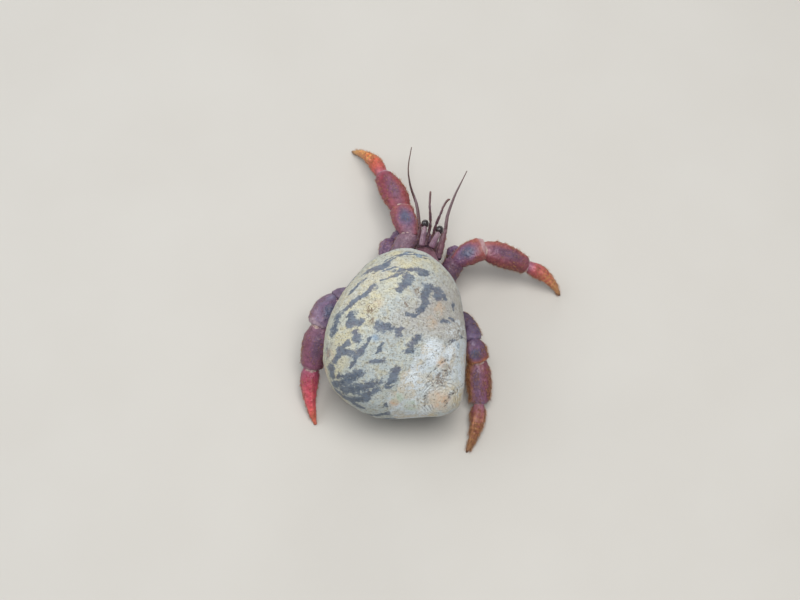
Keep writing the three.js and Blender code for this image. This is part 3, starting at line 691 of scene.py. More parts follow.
def merged(*names):
    """A mesh in the making that holds copies of those CAD nodes, with their corners joined."""
    shape = bmesh.new()
    for name in names:
        shape.from_mesh(nodes[name].data)
    bmesh.ops.remove_doubles(shape, verts=shape.verts, dist=CORNER_MERGE)
    return shape


def rounded(shape, cell, rounds):
    """The shape as one close skin of small squares, with the facets smoothed away."""
    rough = mesh_of(shape, "rough")
    holder = in_scene("rough", rough)
    skin = holder.modifiers.new("skin", "REMESH")
    skin.mode = "VOXEL"
    skin.voxel_size = cell
    soften = holder.modifiers.new("soften", "SMOOTH")
    soften.factor = 0.5
    soften.iterations = rounds
    bpy.context.view_layer.update()
    graph = bpy.context.evaluated_depsgraph_get()
    mesh = bpy.data.meshes.new_from_object(holder.evaluated_get(graph))
    bpy.data.objects.remove(holder)
    bpy.data.meshes.remove(rough)
    for polygon in mesh.polygons:
        polygon.use_smooth = True
    return mesh


def meeting(one, other):
    """The middle of the place where two CAD nodes face each other."""
    here, there = read_points(nodes[one].data), read_points(nodes[other].data)
    gaps = np.linalg.norm(here[:, None] - there[None], axis=2)
    reach = gaps.min() + FACING_REACH
    return np.concatenate((here[gaps.min(1) < reach], there[gaps.min(0) < reach])).mean(0)


def far_end(name, start):
    """The corner of a CAD node that is farthest from a start."""
    corners = read_points(nodes[name].data)
    return corners[np.argmax(np.linalg.norm(corners - start, axis=1))]


def bones(chain):
    """The near and far end of each CAD node in a chain of them."""
    meets = [meeting(one, other) for one, other in zip(chain, chain[1:])]
    start = 2 * read_points(nodes[chain[0]].data).mean(0) - meets[0]
    return list(zip([start] + meets, meets + [far_end(chain[-1], meets[-1])]))


def on_limb(points, near, far):
    """Each point's place on a limb: share of its length, angle from the top, and way out."""
    axis = unit(far - near)
    top = unit(UP - axis * axis[2])
    gap = points - near
    along = gap @ axis / np.linalg.norm(far - near)
    out = gap - np.outer(gap @ axis, axis)
    return along, np.arctan2(out @ np.cross(axis, top), out @ top), unit(out)


def ramp(places, stops):
    """The colours found at those places on a run of stops, as light values."""
    marks = [mark for mark, colour in stops]
    lights = np.array([srgb(*colour)[:3] for mark, colour in stops])
    return np.stack([np.interp(places, marks, lights[:, index]) for index in range(3)], 1)


def tinted(colours, amount, colour):
    """The colours drawn towards another as far as the amount goes."""
    other = np.array(srgb(*colour)[:3])
    return colours + (other - colours) * np.asarray(amount)[:, None]


def keep_paint(mesh, colours):
    """Keeps a colour for each corner on the mesh, for its material to read."""
    kept = mesh.attributes.new("paint", "FLOAT_COLOR", "POINT")
    kept.data.foreach_set(
        "color", np.concatenate((colours, np.ones((len(colours), 1))), 1).astype(np.float32).ravel())


PLATE_CELL = 0.00028            # the squares of a leg plate's skin
PLATE_ROUNDS = 26               # how often they are smoothed
FLARE_ALONG, FLARE_OUT = 0.0006, 0.0005     # how a plate's far end spreads over the next
RIM_OUT = 0.00018               # the raised rim near that end
TUCK_ALONG, TUCK_IN = 0.0007, 0.00025       # how its near end tucks under the one before
RIDGE_HEIGHT = 0.0003           # of the ridges along a last plate

LEG_PAINT = {
    # colours along a plate, from its near end at 0 to its far end at 1
    "front_left": {
        "coxa": [(0, (150, 128, 138)), (1, (134, 112, 124))],
        "merus": [(0, (128, 108, 126)), (0.5, (114, 94, 114)), (1, (130, 100, 114))],
        "carpus": [(0, (130, 94, 112)), (0.5, (138, 78, 90)), (0.8, (150, 80, 82)),
                   (1, (168, 104, 104))],
        "propodus": [(0, (140, 70, 78)), (0.35, (132, 62, 78)), (0.85, (142, 52, 64)),
                     (1, (160, 98, 120))],
        "dactyl": [(0, (170, 112, 136)), (0.10, (184, 86, 86)), (0.24, (210, 94, 66)),
                   (0.5, (226, 124, 66)), (0.8, (228, 168, 94)), (0.95, (200, 166, 112)),
                   (1, (60, 44, 38))]},
    "rear_left": {
        "coxa": [(0, (112, 98, 116)), (1, (106, 94, 114))],
        "merus": [(0, (92, 88, 108)), (0.5, (98, 96, 120)), (1, (112, 94, 118))],
        "carpus": [(0, (118, 112, 138)), (0.5, (116, 104, 130)), (1, (132, 112, 136))],
        "propodus": [(0, (130, 92, 114)), (0.5, (130, 78, 100)), (1, (144, 88, 114))],
        "dactyl": [(0, (158, 84, 116)), (0.2, (180, 70, 96)), (0.6, (222, 84, 98)),
                   (0.85, (230, 108, 88)), (0.95, (200, 102, 74)), (1, (64, 44, 40))]},
    "front_right": {
        "coxa": [(0, (132, 108, 122)), (1, (120, 96, 112))],
        "merus": [(0, (96, 76, 90)), (0.6, (90, 66, 86)), (1, (100, 66, 88))],
        "carpus": [(0, (96, 62, 88)), (0.22, (124, 86, 112)), (0.55, (140, 78, 84)),
                   (0.9, (154, 84, 80)), (1, (176, 122, 114))],
        "propodus": [(0, (176, 124, 130)), (0.15, (138, 78, 96)), (0.6, (118, 58, 66)),
                     (1, (136, 74, 84))],
        "dactyl": [(0, (166, 106, 132)), (0.15, (184, 90, 92)), (0.5, (204, 100, 72)),
                   (0.85, (212, 154, 98)), (1, (60, 44, 38))]},
    "rear_right": {
        "coxa": [(0, (86, 72, 94)), (1, (80, 66, 88))],
        "merus": [(0, (74, 60, 86)), (0.7, (84, 66, 92)), (1, (104, 88, 118))],
        "carpus": [(0, (104, 84, 112)), (0.5, (98, 74, 104)), (0.75, (122, 72, 84)),
                   (0.9, (172, 104, 66)), (1, (190, 128, 96))],
        "propodus": [(0, (138, 88, 98)), (0.5, (122, 78, 98)), (0.85, (128, 90, 118)),
                     (1, (138, 120, 154))],
        "dactyl": [(0, (152, 110, 134)), (0.2, (156, 92, 92)), (0.6, (164, 100, 80)),
                   (0.9, (166, 128, 90)), (1, (60, 44, 38))]},
}
LEG_EDGES = {
    # colours along the two edges of the broad plates, clockwise edge first, seen from the body
    "front_left": ((150, 56, 52), (146, 64, 84)),
    "rear_left": ((126, 80, 92), (108, 54, 76)),
    "front_right": ((126, 58, 58), (172, 92, 72)),
    "rear_right": ((158, 108, 66), (118, 56, 74)),
}
SPOT_COLOUR = (84, 92, 118)     # the slate oval on a middle plate
SPOT_RIM = (122, 88, 122)       # the violet that it fades into
SPOTS = {
    # where along the plate its middle is, half its length and breadth, and how strong it is
    "carpus": (0.47, 0.38, 0.74, 0.9), "propodus": (0.46, 0.42, 0.60, 0.36)}
SPOT_TILTS = {"front_left": 0.1, "rear_left": -0.25, "front_right": -0.1, "rear_right": 0.2}
# pale joint skin and painted highlight on the top of a middle plate's far rim
JOINT_PALE_AND_HIGHLIGHT = (204, 182, 190)
BAND_GOLD = (232, 182, 100)


def leg_paint(leg, segment, along, angle, points):
    """The skin's own colour at each place on a leg plate."""
    drift = lumps(points, 0.004, 3, 5.0)
    colours = ramp(np.clip(along + 0.06 * drift, 0, 1), LEG_PAINT[leg][segment])
    for edge_colour, edge in zip(LEG_EDGES[leg], (angle, -angle)):
        strength = {"carpus": 0.5, "propodus": 0.75, "dactyl": 0.25}.get(segment, 0.0)
        colours = tinted(
            colours, strength * smooth(edge + 0.25 * drift, 0.35, 1.1), edge_colour)
    if segment in SPOTS:
        middle, length, breadth, strength = SPOTS[segment]
        away = np.hypot(
            (along - middle) / length, (angle - SPOT_TILTS[leg]) / breadth) + 0.14 * drift
        colours = tinted(colours, 0.75 * strength * (1 - smooth(away, 0.70, 1.35)), SPOT_RIM)
        colours = tinted(colours, strength * (1 - smooth(away, 0.25, 1.0)), SPOT_COLOUR)
        # The top of the far rim is painted pale: partly the joint's own pale skin, partly a painted
        # highlight.
        rim = smooth(along + 0.05 * drift, 0.93, 0.99) * (np.abs(angle) < 1.2)
        colours = tinted(colours, 0.45 * rim, JOINT_PALE_AND_HIGHLIGHT)
    if segment == "dactyl":
        ridged = 0.12 if leg == "rear_left" else 0.35
        colours = tinted(colours, ridged * np.cos(angle * 3) ** 6 * smooth(along, 0.1, 0.4)
                         * (1 - smooth(along, 0.9, 0.98)), (226, 168, 128))
        bands = smooth(np.sin(TURN * (along * 10 + 0.3 * drift)), 0.1, 0.9)
        bands *= smooth(along, 0.25, 0.4) * (1 - smooth(along, 0.88, 0.96))
        banded = {"front_left": 0.7, "front_right": 0.5, "rear_right": 0.35}.get(leg, 0.0)
        colours = tinted(colours, banded * bands * (1 - smooth(np.abs(angle), 0.5, 1.2)), BAND_GOLD)
    under = smooth(np.abs(angle), 1.9, 2.8)
    colours = tinted(colours, 0.35 * under, (176, 146, 140))
    return colours * (1 + 0.16 * lumps(points, 0.0016, 2, 9.0))[:, None]


limb_armour, wire = new_finish(
    "limb_armour", Roughness=0.42, Coat_Weight=0.12, Coat_Roughness=0.3,
    Specular_IOR_Level=0.45, Subsurface_Weight=0.0)
place = wire.place()
clouds = wire.grain(place, 0.0021, 4.0, 0.6)
fine = wire.grain(place, 0.0006, 3.0, 0.6)
grit = wire.node("TexVoronoi", {"Vector": place, "Scale": 1 / 0.00075}, output="Distance")
skin = wire.paint().shade(clouds.rise(0.35, 0.65) * 0.55, 196, 176, 188)
skin = skin.tint(fine.rise(0.55, 0.75) * 0.30, 208, 150, 140)
skin = skin.shade((1 - grit.rise(0.05, 0.34)) * 0.5, 120, 84, 92)
feed(
    limb_armour, Base_Color=skin, Roughness=0.38 + 0.22 * clouds,
    height=0.6 * fine + (1 - grit.rise(0.0, 0.5)) + 0.6 * clouds, depth=0.00014)

limb_skins = []     # one entry for each plate, for the bristles and spines that grow on it


def remember(limb, segment, mesh, near, far, along, angle):
    """Keeps a finished plate's skin and colours for what grows on it."""
    tones = np.empty(len(mesh.vertices) * 4)
    mesh.attributes["paint"].data.foreach_get("color", tones)
    limb_skins.append({
        "limb": limb, "segment": segment, "points": read_points(mesh), "normals": read_normals(mesh),
        "near": near, "far": far, "along": along, "angle": angle,
        "paint": tones.reshape(-1, 4)[:, :3]})


for leg in LEGS:
    chain = [f"{leg}_leg_{segment}" for segment in SEGMENTS]
    for (near, far), segment, name in zip(bones(chain), SEGMENTS, chain):
        plate_mesh = rounded(merged(name), PLATE_CELL, PLATE_ROUNDS)
        points, normals = read_points(plate_mesh), read_normals(plate_mesh)
        along, angle, out_way = on_limb(points, near, far)
        axis = unit(far - near)
        tuck = (1 - smooth(along, 0.0, 0.22))[:, None]
        points -= tuck * (TUCK_ALONG * axis + TUCK_IN * out_way)
        if segment != "dactyl":
            flare = smooth(along, 0.66, 0.93)[:, None]
            points += flare * (FLARE_ALONG * axis + FLARE_OUT * out_way)
            rim = smooth(along, 0.84, 0.9) - smooth(along, 0.93, 0.97)
            points += RIM_OUT * out_way * rim[:, None]
        else:
            ridges = np.cos(angle * 3) ** 4 * smooth(along, 0.05, 0.3) * (1 - smooth(along, 0.8, 0.97))
            points += out_way * (RIDGE_HEIGHT * ridges - 0.0001)[:, None]
        bumps = np.clip(lumps(points, 0.0011, 2, 4.0), 0, 1) * 0.00028
        bumps += lumps(points, 0.003, 2, 6.0) * 0.00012
        points += normals * (0.0001 + bumps * smooth(along, -0.05, 0.15))[:, None]
        settle(plate_mesh, points)
        keep_paint(plate_mesh, leg_paint(leg, segment, along, angle, points))
        show(name.replace("_leg_", "_plate_"), plate_mesh, limb_armour, "leg_plate", name)
        remember(leg, segment, plate_mesh, near, far, along, angle)

# ---- Claws and small legs -------------------------------------------------------------------
# Two heavy claws folded under the head, the left one bigger, and a pair of small legs kept
# inside the shell. They are violet limy plates with pale grains, and cream on the fingers.

CLAW_PARTS = ("base", "arm", "wrist", "palm")
CLAW_PAINT = {
    "base": [(0, (132, 112, 124)), (1, (104, 82, 106))],
    "arm": [(0, (108, 84, 108)), (1, (92, 68, 100))],
    "wrist": [(0, (92, 66, 98)), (1, (104, 74, 112))],
    "palm": [(0, (98, 70, 108)), (0.7, (106, 76, 112)), (0.9, (160, 126, 130)), (1, (70, 56, 60))],
    "finger": [(0, (104, 76, 110)), (0.5, (124, 92, 116)), (0.85, (196, 160, 140)), (1, (66, 52, 54))],
}
CLAW_CELL, CLAW_ROUNDS = 0.00026, 30
CLAW_GRAIN = 0.0010             # from one raised grain to the next
GRAIN_HEIGHT = 0.00034
SMALL_LEG_ROUNDS = 16

for side in ("left", "right"):
    chain = [f"{side}_claw_{part}" for part in CLAW_PARTS]
    ends = dict(zip(CLAW_PARTS, bones(chain)))
    hinge = meeting(chain[-1], f"{side}_claw_finger")
    ends["finger"] = (hinge, far_end(f"{side}_claw_finger", hinge))
    for part, (near, far) in ends.items():
        name = f"{side}_claw_{part}"
        plate_mesh = rounded(merged(name), CLAW_CELL, CLAW_ROUNDS)
        points, normals = read_points(plate_mesh), read_normals(plate_mesh)
        along, angle, out_way = on_limb(points, near, far)
        grains = np.array([
            noise.noise(Vector(point) / CLAW_GRAIN, noise_basis="VORONOI_F1") for point in points])
        raised = np.clip(0.5 - grains, 0, 1) * (0.6 + 0.4 * lumps(points, 0.004, 2, 15.0))
        flare = smooth(along, 0.7, 0.95)[:, None] * (part not in ("palm", "finger"))
        points += flare * 0.0004 * out_way
        points += normals * (GRAIN_HEIGHT * raised + 0.00012 * lumps(points, 0.003, 2, 6.0))[:, None]
        settle(plate_mesh, points)
        colours = ramp(np.clip(along, 0, 1), CLAW_PAINT[part])
        colours = tinted(colours, 0.45 * smooth(raised, 0.12, 0.4), (166, 138, 160))
        keep_paint(plate_mesh, colours)
        show(name.replace("_claw_", "_claw_shell_"), plate_mesh, limb_armour, "claw_plate", name)
        remember(f"{side}_claw", part, plate_mesh, near, far, along, angle)
    name = f"{side}_small_leg"
    leg_mesh = rounded(merged(name), PLATE_CELL, SMALL_LEG_ROUNDS)
    points = read_points(leg_mesh)
    keep_paint(leg_mesh, ramp(0.5 + 0.5 * lumps(points, 0.004, 2, 7.0), [
        (0, (150, 120, 122)), (1, (190, 168, 158))]))
    show(name.replace("_leg", "_leg_shell"), leg_mesh, limb_armour, "leg_plate", name)

# ---- Back shield ----------------------------------------------------------------------------
# The hard shield over the front of the body, with a groove across it and a blunt point between
# the eyes. It is dusky violet and grained, and most of it sits inside the shell's mouth.

SHIELD_CELL, SHIELD_ROUNDS = 0.00026, 18
GROOVE_DEPTH = 0.0003

shield_mesh = rounded(merged("carapace_shield"), SHIELD_CELL, SHIELD_ROUNDS)
points, normals = read_points(shield_mesh), read_normals(shield_mesh)
shield_low, shield_high = points.min(0), points.max(0)
shield_size = shield_high - shield_low
length_share = (points[:, 1] - shield_low[1]) / shield_size[1]
middle_share = (points[:, 0] - (shield_low[0] + shield_high[0]) / 2) / shield_size[0]
groove_line = np.exp(-((length_share - 0.45 - 0.9 * middle_share ** 2) / 0.03) ** 2)
groove_line = np.maximum(groove_line, 0.5 * np.exp(-(middle_share / 0.02) ** 2))
points += normals * (
    -GROOVE_DEPTH * groove_line * (normals[:, 2] > 0.2)
    + 0.00025 * np.clip(lumps(points, 0.0012, 2, 13.0), 0, 1))[:, None]
write_points(shield_mesh, points)
shield_colours = ramp(length_share, [(0, (150, 124, 130)), (0.5, (128, 94, 112)), (1, (120, 78, 90))])
# Painted shade: the paint is darkened along the groove.
keep_paint(shield_mesh, tinted(shield_colours, 0.5 * groove_line, (90, 62, 74)))
show("back_shield", shield_mesh, limb_armour, "back_plate", "carapace_shield")

# ---- Head -----------------------------------------------------------------------------------
# Stalked black eyes, two pairs of feelers and the hairy mouth limbs. The stalks are violet, and
# every head part has a painted highlight streak along its top. The long feelers are made of some
# dozens of short brown rings.

eye_lens, wire = new_finish(
    "eye_lens", Roughness=0.08, Coat_Weight=0.8, Coat_Roughness=0.03, IOR=1.45)
place = wire.place()
facets = wire.node("TexVoronoi", {"Vector": place, "Scale": 1 / 0.00012}, output="Distance")
glassy = wire.mix(facets.rise(0.1, 0.6) * 0.5, srgb(22, 19, 22), srgb(58, 46, 48))
glassy = glassy.tint(wire.grain(place, 0.0009, 2.0).rise(0.55, 0.7) * 0.4, 84, 70, 66)
feed(eye_lens, Base_Color=glassy, Roughness=0.07 + 0.1 * facets, height=facets, depth=0.00002)

WHIP_RINGS = 56                 # rings on a feeler's thin end
HEAD_CELL = 0.00017
FINE_CELLS = {"antenna_whip": 0.00011, "antennule_whip": 0.0001}
HEAD_ROUNDS, WHIP_ROUNDS = 16, 6
EYE_CELL, EYE_ROUNDS = 0.00011, 60
EYE_SWELL = 0.00032             # what the smoothing takes off an eye and this gives back
WHIP_TUCK = 0.0010              # how far a whip's root reaches back into its stalk
WHIP_THINNED = 0.00018          # how much thinner than its solid a long whip's end is
RING_HEIGHT = 0.00003
feeler_rings, wire = new_finish("feeler_rings", Roughness=0.5)
place = wire.place()
fine = wire.grain(place, 0.0007, 3.0, 0.6)
ring_wave = wire.sum("SINE", wire.attribute("along") * (TURN * WHIP_RINGS))
skin = wire.paint().shade(ring_wave.rise(0.2, 0.9) * 0.6, 120, 96, 100)
skin = skin.tint(fine.rise(0.5, 0.75) * 0.2, 190, 140, 124)
feed(feeler_rings, Base_Color=skin, Roughness=0.42 + 0.2 * fine, height=ring_wave + 0.5 * fine,
     depth=0.00005)

GROWS_FROM = {
    # what each part of the head stands on
    "eyestalk": "thorax", "antenna_stalk": "thorax", "antennule_stalk": "thorax",
    "maxilliped": "thorax", "antenna_whip": "{}_antenna_stalk",
    "antennule_whip": "{}_antennule_stalk"}
HEAD_PAINT = {
    "eyestalk": [(0, (138, 74, 76)), (0.3, (118, 78, 100)), (0.7, (124, 92, 114)),
                 (1, (160, 136, 144))],
    "antennule_stalk": [(0, (98, 62, 70)), (0.5, (92, 62, 72)), (1, (104, 78, 88))],
    "antennule_whip": [(0, (100, 66, 68)), (1, (140, 96, 80))],
    "antenna_stalk": [(0, (96, 70, 92)), (0.5, (112, 72, 84)), (1, (128, 92, 100))],
    "antenna_whip": [(0, (88, 54, 60)), (0.5, (74, 46, 48)), (1, (100, 66, 58))],
    "maxilliped": [(0, (140, 104, 114)), (1, (158, 112, 106))],
}
for side in ("left", "right"):
    for part, base in GROWS_FROM.items():
        name = f"{side}_{part}"
        near = meeting(name, base.format(side))
        far = far_end(name, near)
        part_mesh = rounded(merged(name), FINE_CELLS.get(part, HEAD_CELL),
                            WHIP_ROUNDS if "whip" in part else HEAD_ROUNDS)
        points, normals = read_points(part_mesh), read_normals(part_mesh)
        along, angle, out_way = on_limb(points, near, far)
        along = np.clip(along, 0, 1)
        whip = "whip" in part
        if whip:
            reach_back = (1 - smooth(along, 0.0, 0.12))[:, None]
            points -= reach_back * WHIP_TUCK * unit(far - near)
            points += normals * (
                0.00005 + RING_HEIGHT * np.sin(along * TURN * WHIP_RINGS)
                - WHIP_THINNED * smooth(along, 0.1, 1.0) * (part == "antenna_whip"))[:, None]
        elif part == "eyestalk":
            waist = np.sin(math.pi * np.clip(along / 0.85, 0, 1))
            points -= out_way * (0.00014 * waist)[:, None]
            points += normals * (0.00005 * lumps(points, 0.001, 2, 3.0))[:, None]
        else:
            joints = np.exp(-((along[:, None] - np.array([[0.3, 0.62, 0.86]])) / 0.025) ** 2).max(1)
            bumps = 0.00012 - 0.0002 * joints + 0.00008 * lumps(points, 0.0011, 2, 3.0)
            points += normals * bumps[:, None]
        write_points(part_mesh, points)
        colours = ramp(along, HEAD_PAINT[part])
        # Painted highlight: a pale streak along the top of each stalk, whip and mouth limb.
        colours = tinted(colours, 0.3 * np.exp(-((angle + 0.3) / 0.35) ** 2), (196, 176, 184))
        keep_paint(part_mesh, colours)
        keep_numbers(part_mesh, "along", along)
        slot = "feeler" if part.startswith("antenn") else "leg_plate"
        show(f"{name}_shell", part_mesh, feeler_rings if whip else limb_armour, slot, name)
        if not whip:
            remember(f"{side}_{part}", part, part_mesh, near, far, along, angle)
    name = f"{side}_eye"
    eye_mesh = rounded(merged(name), EYE_CELL, EYE_ROUNDS)
    write_points(eye_mesh, read_points(eye_mesh) + read_normals(eye_mesh) * EYE_SWELL)
    show(f"{name}_lens", eye_mesh, eye_lens, "eye", name)

# ---- Soft body ------------------------------------------------------------------------------
# One soft skin over the body and its gut bag, running out to the limbs as a folded membrane
# between each two plates. It is cream and pink, moist, and thin enough to look a little clear.

FLESH_NODES = ("thorax", "rear_carapace", "abdomen")
FLESH_CELL = 0.00036
FLESH_ROUNDS = 16
NO_MEMBRANE = ("finger", "eyestalk", "antenna_stalk", "antennule_stalk")
JOINT_FILLED = {"palm": 0.6}    # a membrane's breadth beside the plate's near end
JOINT_FILLED_ELSE = 0.92
JOINT_STRETCH = Matrix.Diagonal((1, 1, 1.25, 1))

flesh_shape = merged(*FLESH_NODES)
for skin in limb_skins:
    if skin["segment"] in NO_MEMBRANE:
        continue
    near_end = skin["points"][np.abs(skin["along"] - 0.08) < 0.04]
    broad = float(np.linalg.norm(near_end - near_end.mean(0), axis=1).mean())
    way = Vector(unit(skin["far"] - skin["near"]))
    bmesh.ops.create_uvsphere(
        flesh_shape, u_segments=20, v_segments=14,
        radius=broad * JOINT_FILLED.get(skin["segment"], JOINT_FILLED_ELSE),
        matrix=Matrix.Translation(Vector(skin["near"]))
        @ way.to_track_quat("Z", "Y").to_matrix().to_4x4() @ JOINT_STRETCH)
flesh_mesh = rounded(flesh_shape, FLESH_CELL, FLESH_ROUNDS)
points, normals = read_points(flesh_mesh), read_normals(flesh_mesh)
wrinkle = np.abs(lumps(points / np.array((2.6, 0.8, 1.6)), 0.0014, 3, 1.0))
points += normals * (
    0.00022 - 0.0004 * np.exp(-(wrinkle / 0.14) ** 2) + 0.00018 * lumps(points, 0.0035, 2, 27.0))[:, None]
settle(flesh_mesh, points)
colours = ramp(0.5 + 0.5 * lumps(points, 0.005, 3, 2.0), [
    (0, (150, 118, 128)), (0.45, (184, 156, 150)), (1, (206, 190, 176))])
# Painted shade: the skin is darkened in the creases of its wrinkles.
colours = tinted(colours, 0.45 * np.exp(-(wrinkle / 0.12) ** 2), (140, 100, 108))
keep_paint(flesh_mesh, colours)
soft_skin, wire = new_finish(
    "soft_skin", Roughness=0.4, Subsurface_Weight=0.15, Subsurface_Scale=0.002,
    Coat_Weight=0.2, Coat_Roughness=0.2)
soft_skin.node_tree.nodes["Principled BSDF"].inputs["Subsurface Radius"].default_value = (1.0, 0.5, 0.35)
place = wire.place()
clouds = wire.grain(place, 0.003, 4.0, 0.6)
wrinkles = wire.grain(place, 0.0006, 3.0, 0.6, 1.0)
skin = wire.paint().tint(clouds.rise(0.5, 0.7) * 0.5, 168, 124, 132)
skin = skin.shade(wrinkles.rise(0.5, 0.75) * 0.4, 180, 140, 140)
feed(soft_skin, Base_Color=skin, Roughness=0.34 + 0.2 * wrinkles, height=wrinkles + 0.5 * clouds,
     depth=0.00015)
show("soft_body", flesh_mesh, soft_skin, "flesh", *FLESH_NODES)

# ---- Bristles and spines --------------------------------------------------------------------
# Stiff golden hairs in small tufts and short dark-tipped spines in rows, both growing from the
# plates' own skin and leaning towards the limb's end. They are thickest on the last plates.

random_draw = np.random.default_rng(7)


def hair_shape(rings=3, bend=0.22):
    """One three-sided hair of unit length and radius that thins and bends as it rises."""
    shape = bmesh.new()
    bmesh.ops.create_circle(shape, segments=3, radius=1.0, cap_ends=True)
    edges = list(shape.edges)
    for ring in range(1, rings + 1):
        made = bmesh.ops.extrude_edge_only(shape, edges=edges)["geom"]
        corners = [part for part in made if isinstance(part, bmesh.types.BMVert)]
        edges = [part for part in made if isinstance(part, bmesh.types.BMEdge)]
        lean = bend * (2 * ring - 1) / rings ** 2
        bmesh.ops.translate(shape, verts=corners, vec=(lean, 0, 1 / rings))
        middle = sum((corner.co for corner in corners), Vector()) / 3
        thinner = (1.12 - ring / rings) / (1.12 - (ring - 1) / rings)
        bmesh.ops.scale(
            shape, verts=corners, vec=(thinner, thinner, 1), space=Matrix.Translation(-middle))
    bmesh.ops.contextual_create(shape, geom=edges)
    bmesh.ops.triangulate(shape, faces=shape.faces)
    bmesh.ops.recalc_face_normals(shape, faces=shape.faces)
    shape.verts.index_update()
    corners = np.array([corner.co[:] for corner in shape.verts])
    faces = np.array([[corner.index for corner in face.verts] for face in shape.faces])
    shape.free()
    middles = np.stack([bend * corners[:, 2] ** 2, np.zeros(len(corners))], 1)
    return corners, corners[:, :2] - middles, faces


PATCH_WIDE, PATCH_HIGH = 0.0007, 0.003      # of one hair's place on the bake map


def planted(name, base, roots, ways, tilts, lengths, breadths, colours, patches):
    """A mesh of one small shape repeated at each root, with its colours and its bake map."""
    corners, across, faces = base
    sideways = unit(np.cross(ways, tilts))
    across_one = unit(tilts - ways * np.sum(tilts * ways, 1)[:, None])
    rise = corners[:, 2]
    bend = corners[:, 0] - across[:, 0]
    places = (
        roots[:, None] + ways[:, None] * (lengths[:, None] * rise)[..., None]
        + across_one[:, None] * (breadths[:, None] * across[:, 0] + lengths[:, None] * bend)[..., None]
        + sideways[:, None] * (breadths[:, None] * across[:, 1])[..., None])
    count, each = len(roots), len(corners)
    all_faces = (faces[None] + each * np.arange(count)[:, None, None]).reshape(-1, 3)
    mesh = bpy.data.meshes.new(name)
    mesh.vertices.add(count * each)
    mesh.loops.add(all_faces.size)
    mesh.polygons.add(len(all_faces))
    mesh.polygons.foreach_set("loop_start", np.arange(len(all_faces)) * 3)
    mesh.loops.foreach_set("vertex_index", all_faces.ravel())
    settle(mesh, places.reshape(-1, 3))
    mesh.validate()
    keep_paint(mesh, np.repeat(colours, each, 0))
    keep_numbers(mesh, "rise", np.tile(rise, count))
    spread = np.stack([across[:, 0] * PATCH_WIDE, (rise - 0.5) * PATCH_HIGH], 1)
    map_places = (patches[:, None] + spread[None]).reshape(-1, 2)[all_faces.ravel()]
    bake_map = mesh.uv_layers.new(name="OFBake")
    bake_map.data.foreach_set("uv", np.clip(map_places, 0, 1).astype(np.float32).ravel())
    return mesh


horn, wire = new_finish("bristle_horn", Roughness=0.45)
rise = wire.attribute("rise")
place = wire.place()
skin = wire.paint().shade(1 - rise.rise(0.0, 0.5), 150, 120, 110)
skin = skin.tint(wire.grain(place, 0.0012).rise(0.4, 0.7) * 0.4, 206, 168, 112)
feed(horn, Base_Color=skin, Roughness=0.4 + 0.2 * rise)
spine_horn, wire = new_finish("spine_horn", Roughness=0.35, Coat_Weight=0.2)
rise = wire.attribute("rise")
place = wire.place()
skin = wire.paint().tint(rise.rise(0.5, 0.85), 66, 48, 44)
skin = skin.shade(wire.grain(place, 0.0005).rise(0.4, 0.7) * 0.4, 190, 160, 150)
feed(spine_horn, Base_Color=skin, Roughness=0.3 + 0.2 * rise)

HAIRINESS = {
    # tufts on a plate, and the hairs' length in mm
    "coxa": (60, 0.9), "merus": (150, 1.0), "carpus": (180, 1.1), "propodus": (380, 1.3),
    "dactyl": (460, 1.3), "base": (40, 0.8), "arm": (110, 0.9), "wrist": (130, 0.9),
    "palm": (240, 1.0), "finger": (140, 1.0), "maxilliped": (420, 1.4), "eyestalk": (24, 0.5),
    "antenna_stalk": (70, 0.8), "antennule_stalk": (40, 0.6)}
LIMB_HAIRINESS = {"rear_right": (1.9, 1.35), "rear_left": (0.7, 0.8)}
COATS = {
    "front_left_bristles": ("front_left",), "rear_left_bristles": ("rear_left",),
    "front_right_bristles": ("front_right",), "rear_right_bristles": ("rear_right",),
    "claw_bristles": ("left_claw", "right_claw"),
    "head_bristles": tuple(
        f"{side}_{part}" for side in ("left", "right")
        for part in ("maxilliped", "eyestalk", "antenna_stalk", "antennule_stalk")),
}
HAIRS_IN_TUFT = 4
TUFT_SPREAD = 0.00012           # how far a tuft's hairs stand from its middle
HAIR_BREADTH = 0.000048
HAIR_COLOURS = [(0, (110, 64, 50)), (0.5, (176, 108, 70)), (1, (214, 166, 108))]
SPINY = ("dactyl", "propodus", "carpus", "merus", "palm", "wrist")
SPINE_LENGTH = 0.00042
SPINE_BREADTH = 0.00012
SPINE_COLOURS = [(0, (196, 140, 120)), (1, (226, 176, 140))]
SPINE_ROWS, SPINE_STEP = 8, 0.0016          # rows round a plate, and from one spine to the next
TIP_SPINE_ROWS, TIP_SPINE_STEP = 9, 0.0011  # the same on a limb's last plate
WAYS_TO_STAND = ("roots", "ways", "tilts", "lengths", "breadths", "colours", "patches")


def grow(into, skin, chosen, patch_of, apart, lift, wander, length, breadth, colour, mix_in):
    """Plants one small shape at each chosen corner of a plate, and notes how it stands."""
    count = len(chosen)
    axis = unit(skin["far"] - skin["near"])
    normal = skin["normals"][chosen]
    shove = random_draw.normal(0, apart, (count, 3))
    shove -= normal * np.sum(shove * normal, 1)[:, None]
    way = unit(normal * lift + axis * (1 - lift) + random_draw.normal(0, wander, (count, 3)))
    share = np.stack([
        0.06 + 0.88 * ((skin["angle"][chosen] / TURN + 0.5) % 1),
        0.06 + 0.88 * np.clip(skin["along"][chosen], 0, 1)], 1)
    base_colour = ramp(random_draw.random(count), colour)
    into["roots"].append(skin["points"][chosen] + shove - normal * 0.0001)
    into["ways"].append(way)
    into["tilts"].append(unit(axis + random_draw.normal(0, 0.3, (count, 3))))
    into["lengths"].append(length * random_draw.uniform(0.6, 1.25, count))
    into["breadths"].append(breadth * random_draw.uniform(0.8, 1.2, count))
    into["colours"].append(base_colour * (1 - mix_in) + skin["paint"][chosen] * mix_in)
    into["patches"].append(patch_of(share))


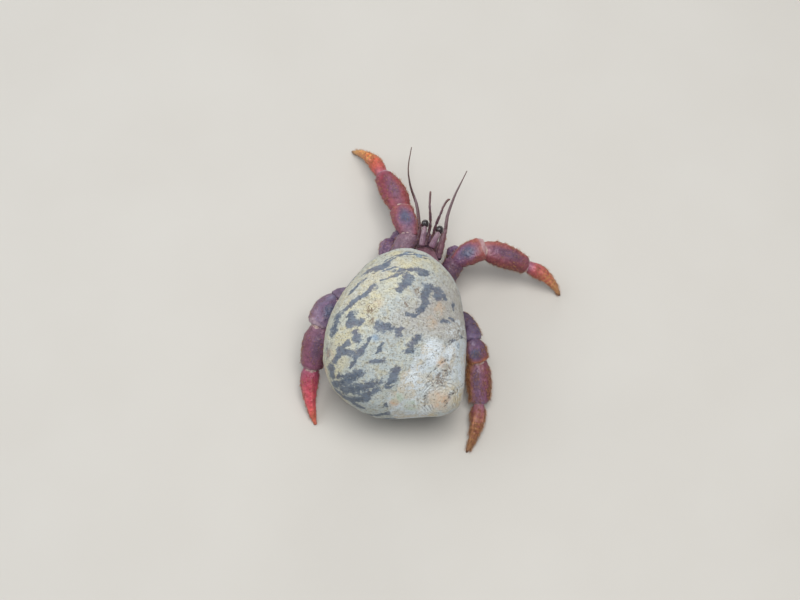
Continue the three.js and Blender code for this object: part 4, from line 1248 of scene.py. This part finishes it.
def spine_places(skin):
    """The corners of a plate where its rows of spines stand."""
    near, far = skin["near"], skin["far"]
    axis, length = unit(far - near), float(np.linalg.norm(far - near))
    last = skin["segment"] == "dactyl"
    rows, spacing = (TIP_SPINE_ROWS, TIP_SPINE_STEP) if last else (SPINE_ROWS, SPINE_STEP)
    finder = KDTree(len(skin["points"]))
    for number, point in enumerate(skin["points"]):
        finder.insert(point, number)
    finder.balance()
    top = unit(UP - axis * axis[2])
    sideways = np.cross(axis, top)
    places = []
    for row in range(rows):
        turn = TURN * (row + 0.5) / rows
        way = top * math.cos(turn) + sideways * math.sin(turn)
        for step in range(int(length * 0.8 / spacing)):
            share = 0.12 + (step + random_draw.uniform(-0.25, 0.25)) * spacing / length
            places.append(finder.find(near + axis * share * length + way * 0.004)[1])
    return np.array(places)


one_hair = hair_shape()
one_spine = hair_shape(3, 0.1)
for coat, limbs in COATS.items():
    members = [skin for skin in limb_skins if skin["limb"] in limbs]
    columns = math.ceil(math.sqrt(len(members)))
    rows = math.ceil(len(members) / columns)
    hairs, spines = ({key: [] for key in WAYS_TO_STAND} for kind in range(2))
    for index, skin in enumerate(members):
        more, longer = LIMB_HAIRINESS.get(skin["limb"], (1.0, 1.0))
        tufts, hair_mm = HAIRINESS[skin["segment"]]
        cell = np.array((index % columns, index // columns))

        def patch_of(share, cell=cell):
            """Where on the coat's bake map a root's share of its plate falls."""
            return (cell + share) / (columns, rows)

        weight = smooth(skin["along"], 0.02, 0.2) * (0.35 + smooth(np.abs(skin["angle"]), 0.7, 1.6))
        weight *= 1 - smooth(skin["along"], 0.88, 0.95)
        weight /= weight.sum()
        chosen = random_draw.choice(len(weight), int(tufts * more), p=weight)
        grow(hairs, skin, np.repeat(chosen, HAIRS_IN_TUFT), patch_of, TUFT_SPREAD, 0.42, 0.2,
             hair_mm * longer * 0.001, HAIR_BREADTH, HAIR_COLOURS, 0.25)
        if skin["segment"] in SPINY:
            grow(spines, skin, spine_places(skin), patch_of, 0.0001, 0.62, 0.1,
                 SPINE_LENGTH, SPINE_BREADTH, SPINE_COLOURS, 0.5)
    for suffix, base, group, finish in (
            ("", one_hair, hairs, horn), ("_spines", one_spine, spines, spine_horn)):
        if not group["roots"]:
            continue
        joined = {key: np.concatenate(value) for key, value in group.items()}
        slot = "claw_plate" if coat == "claw_bristles" else "leg_plate"
        show(coat + suffix, planted(coat + suffix, base, **joined), finish, slot)
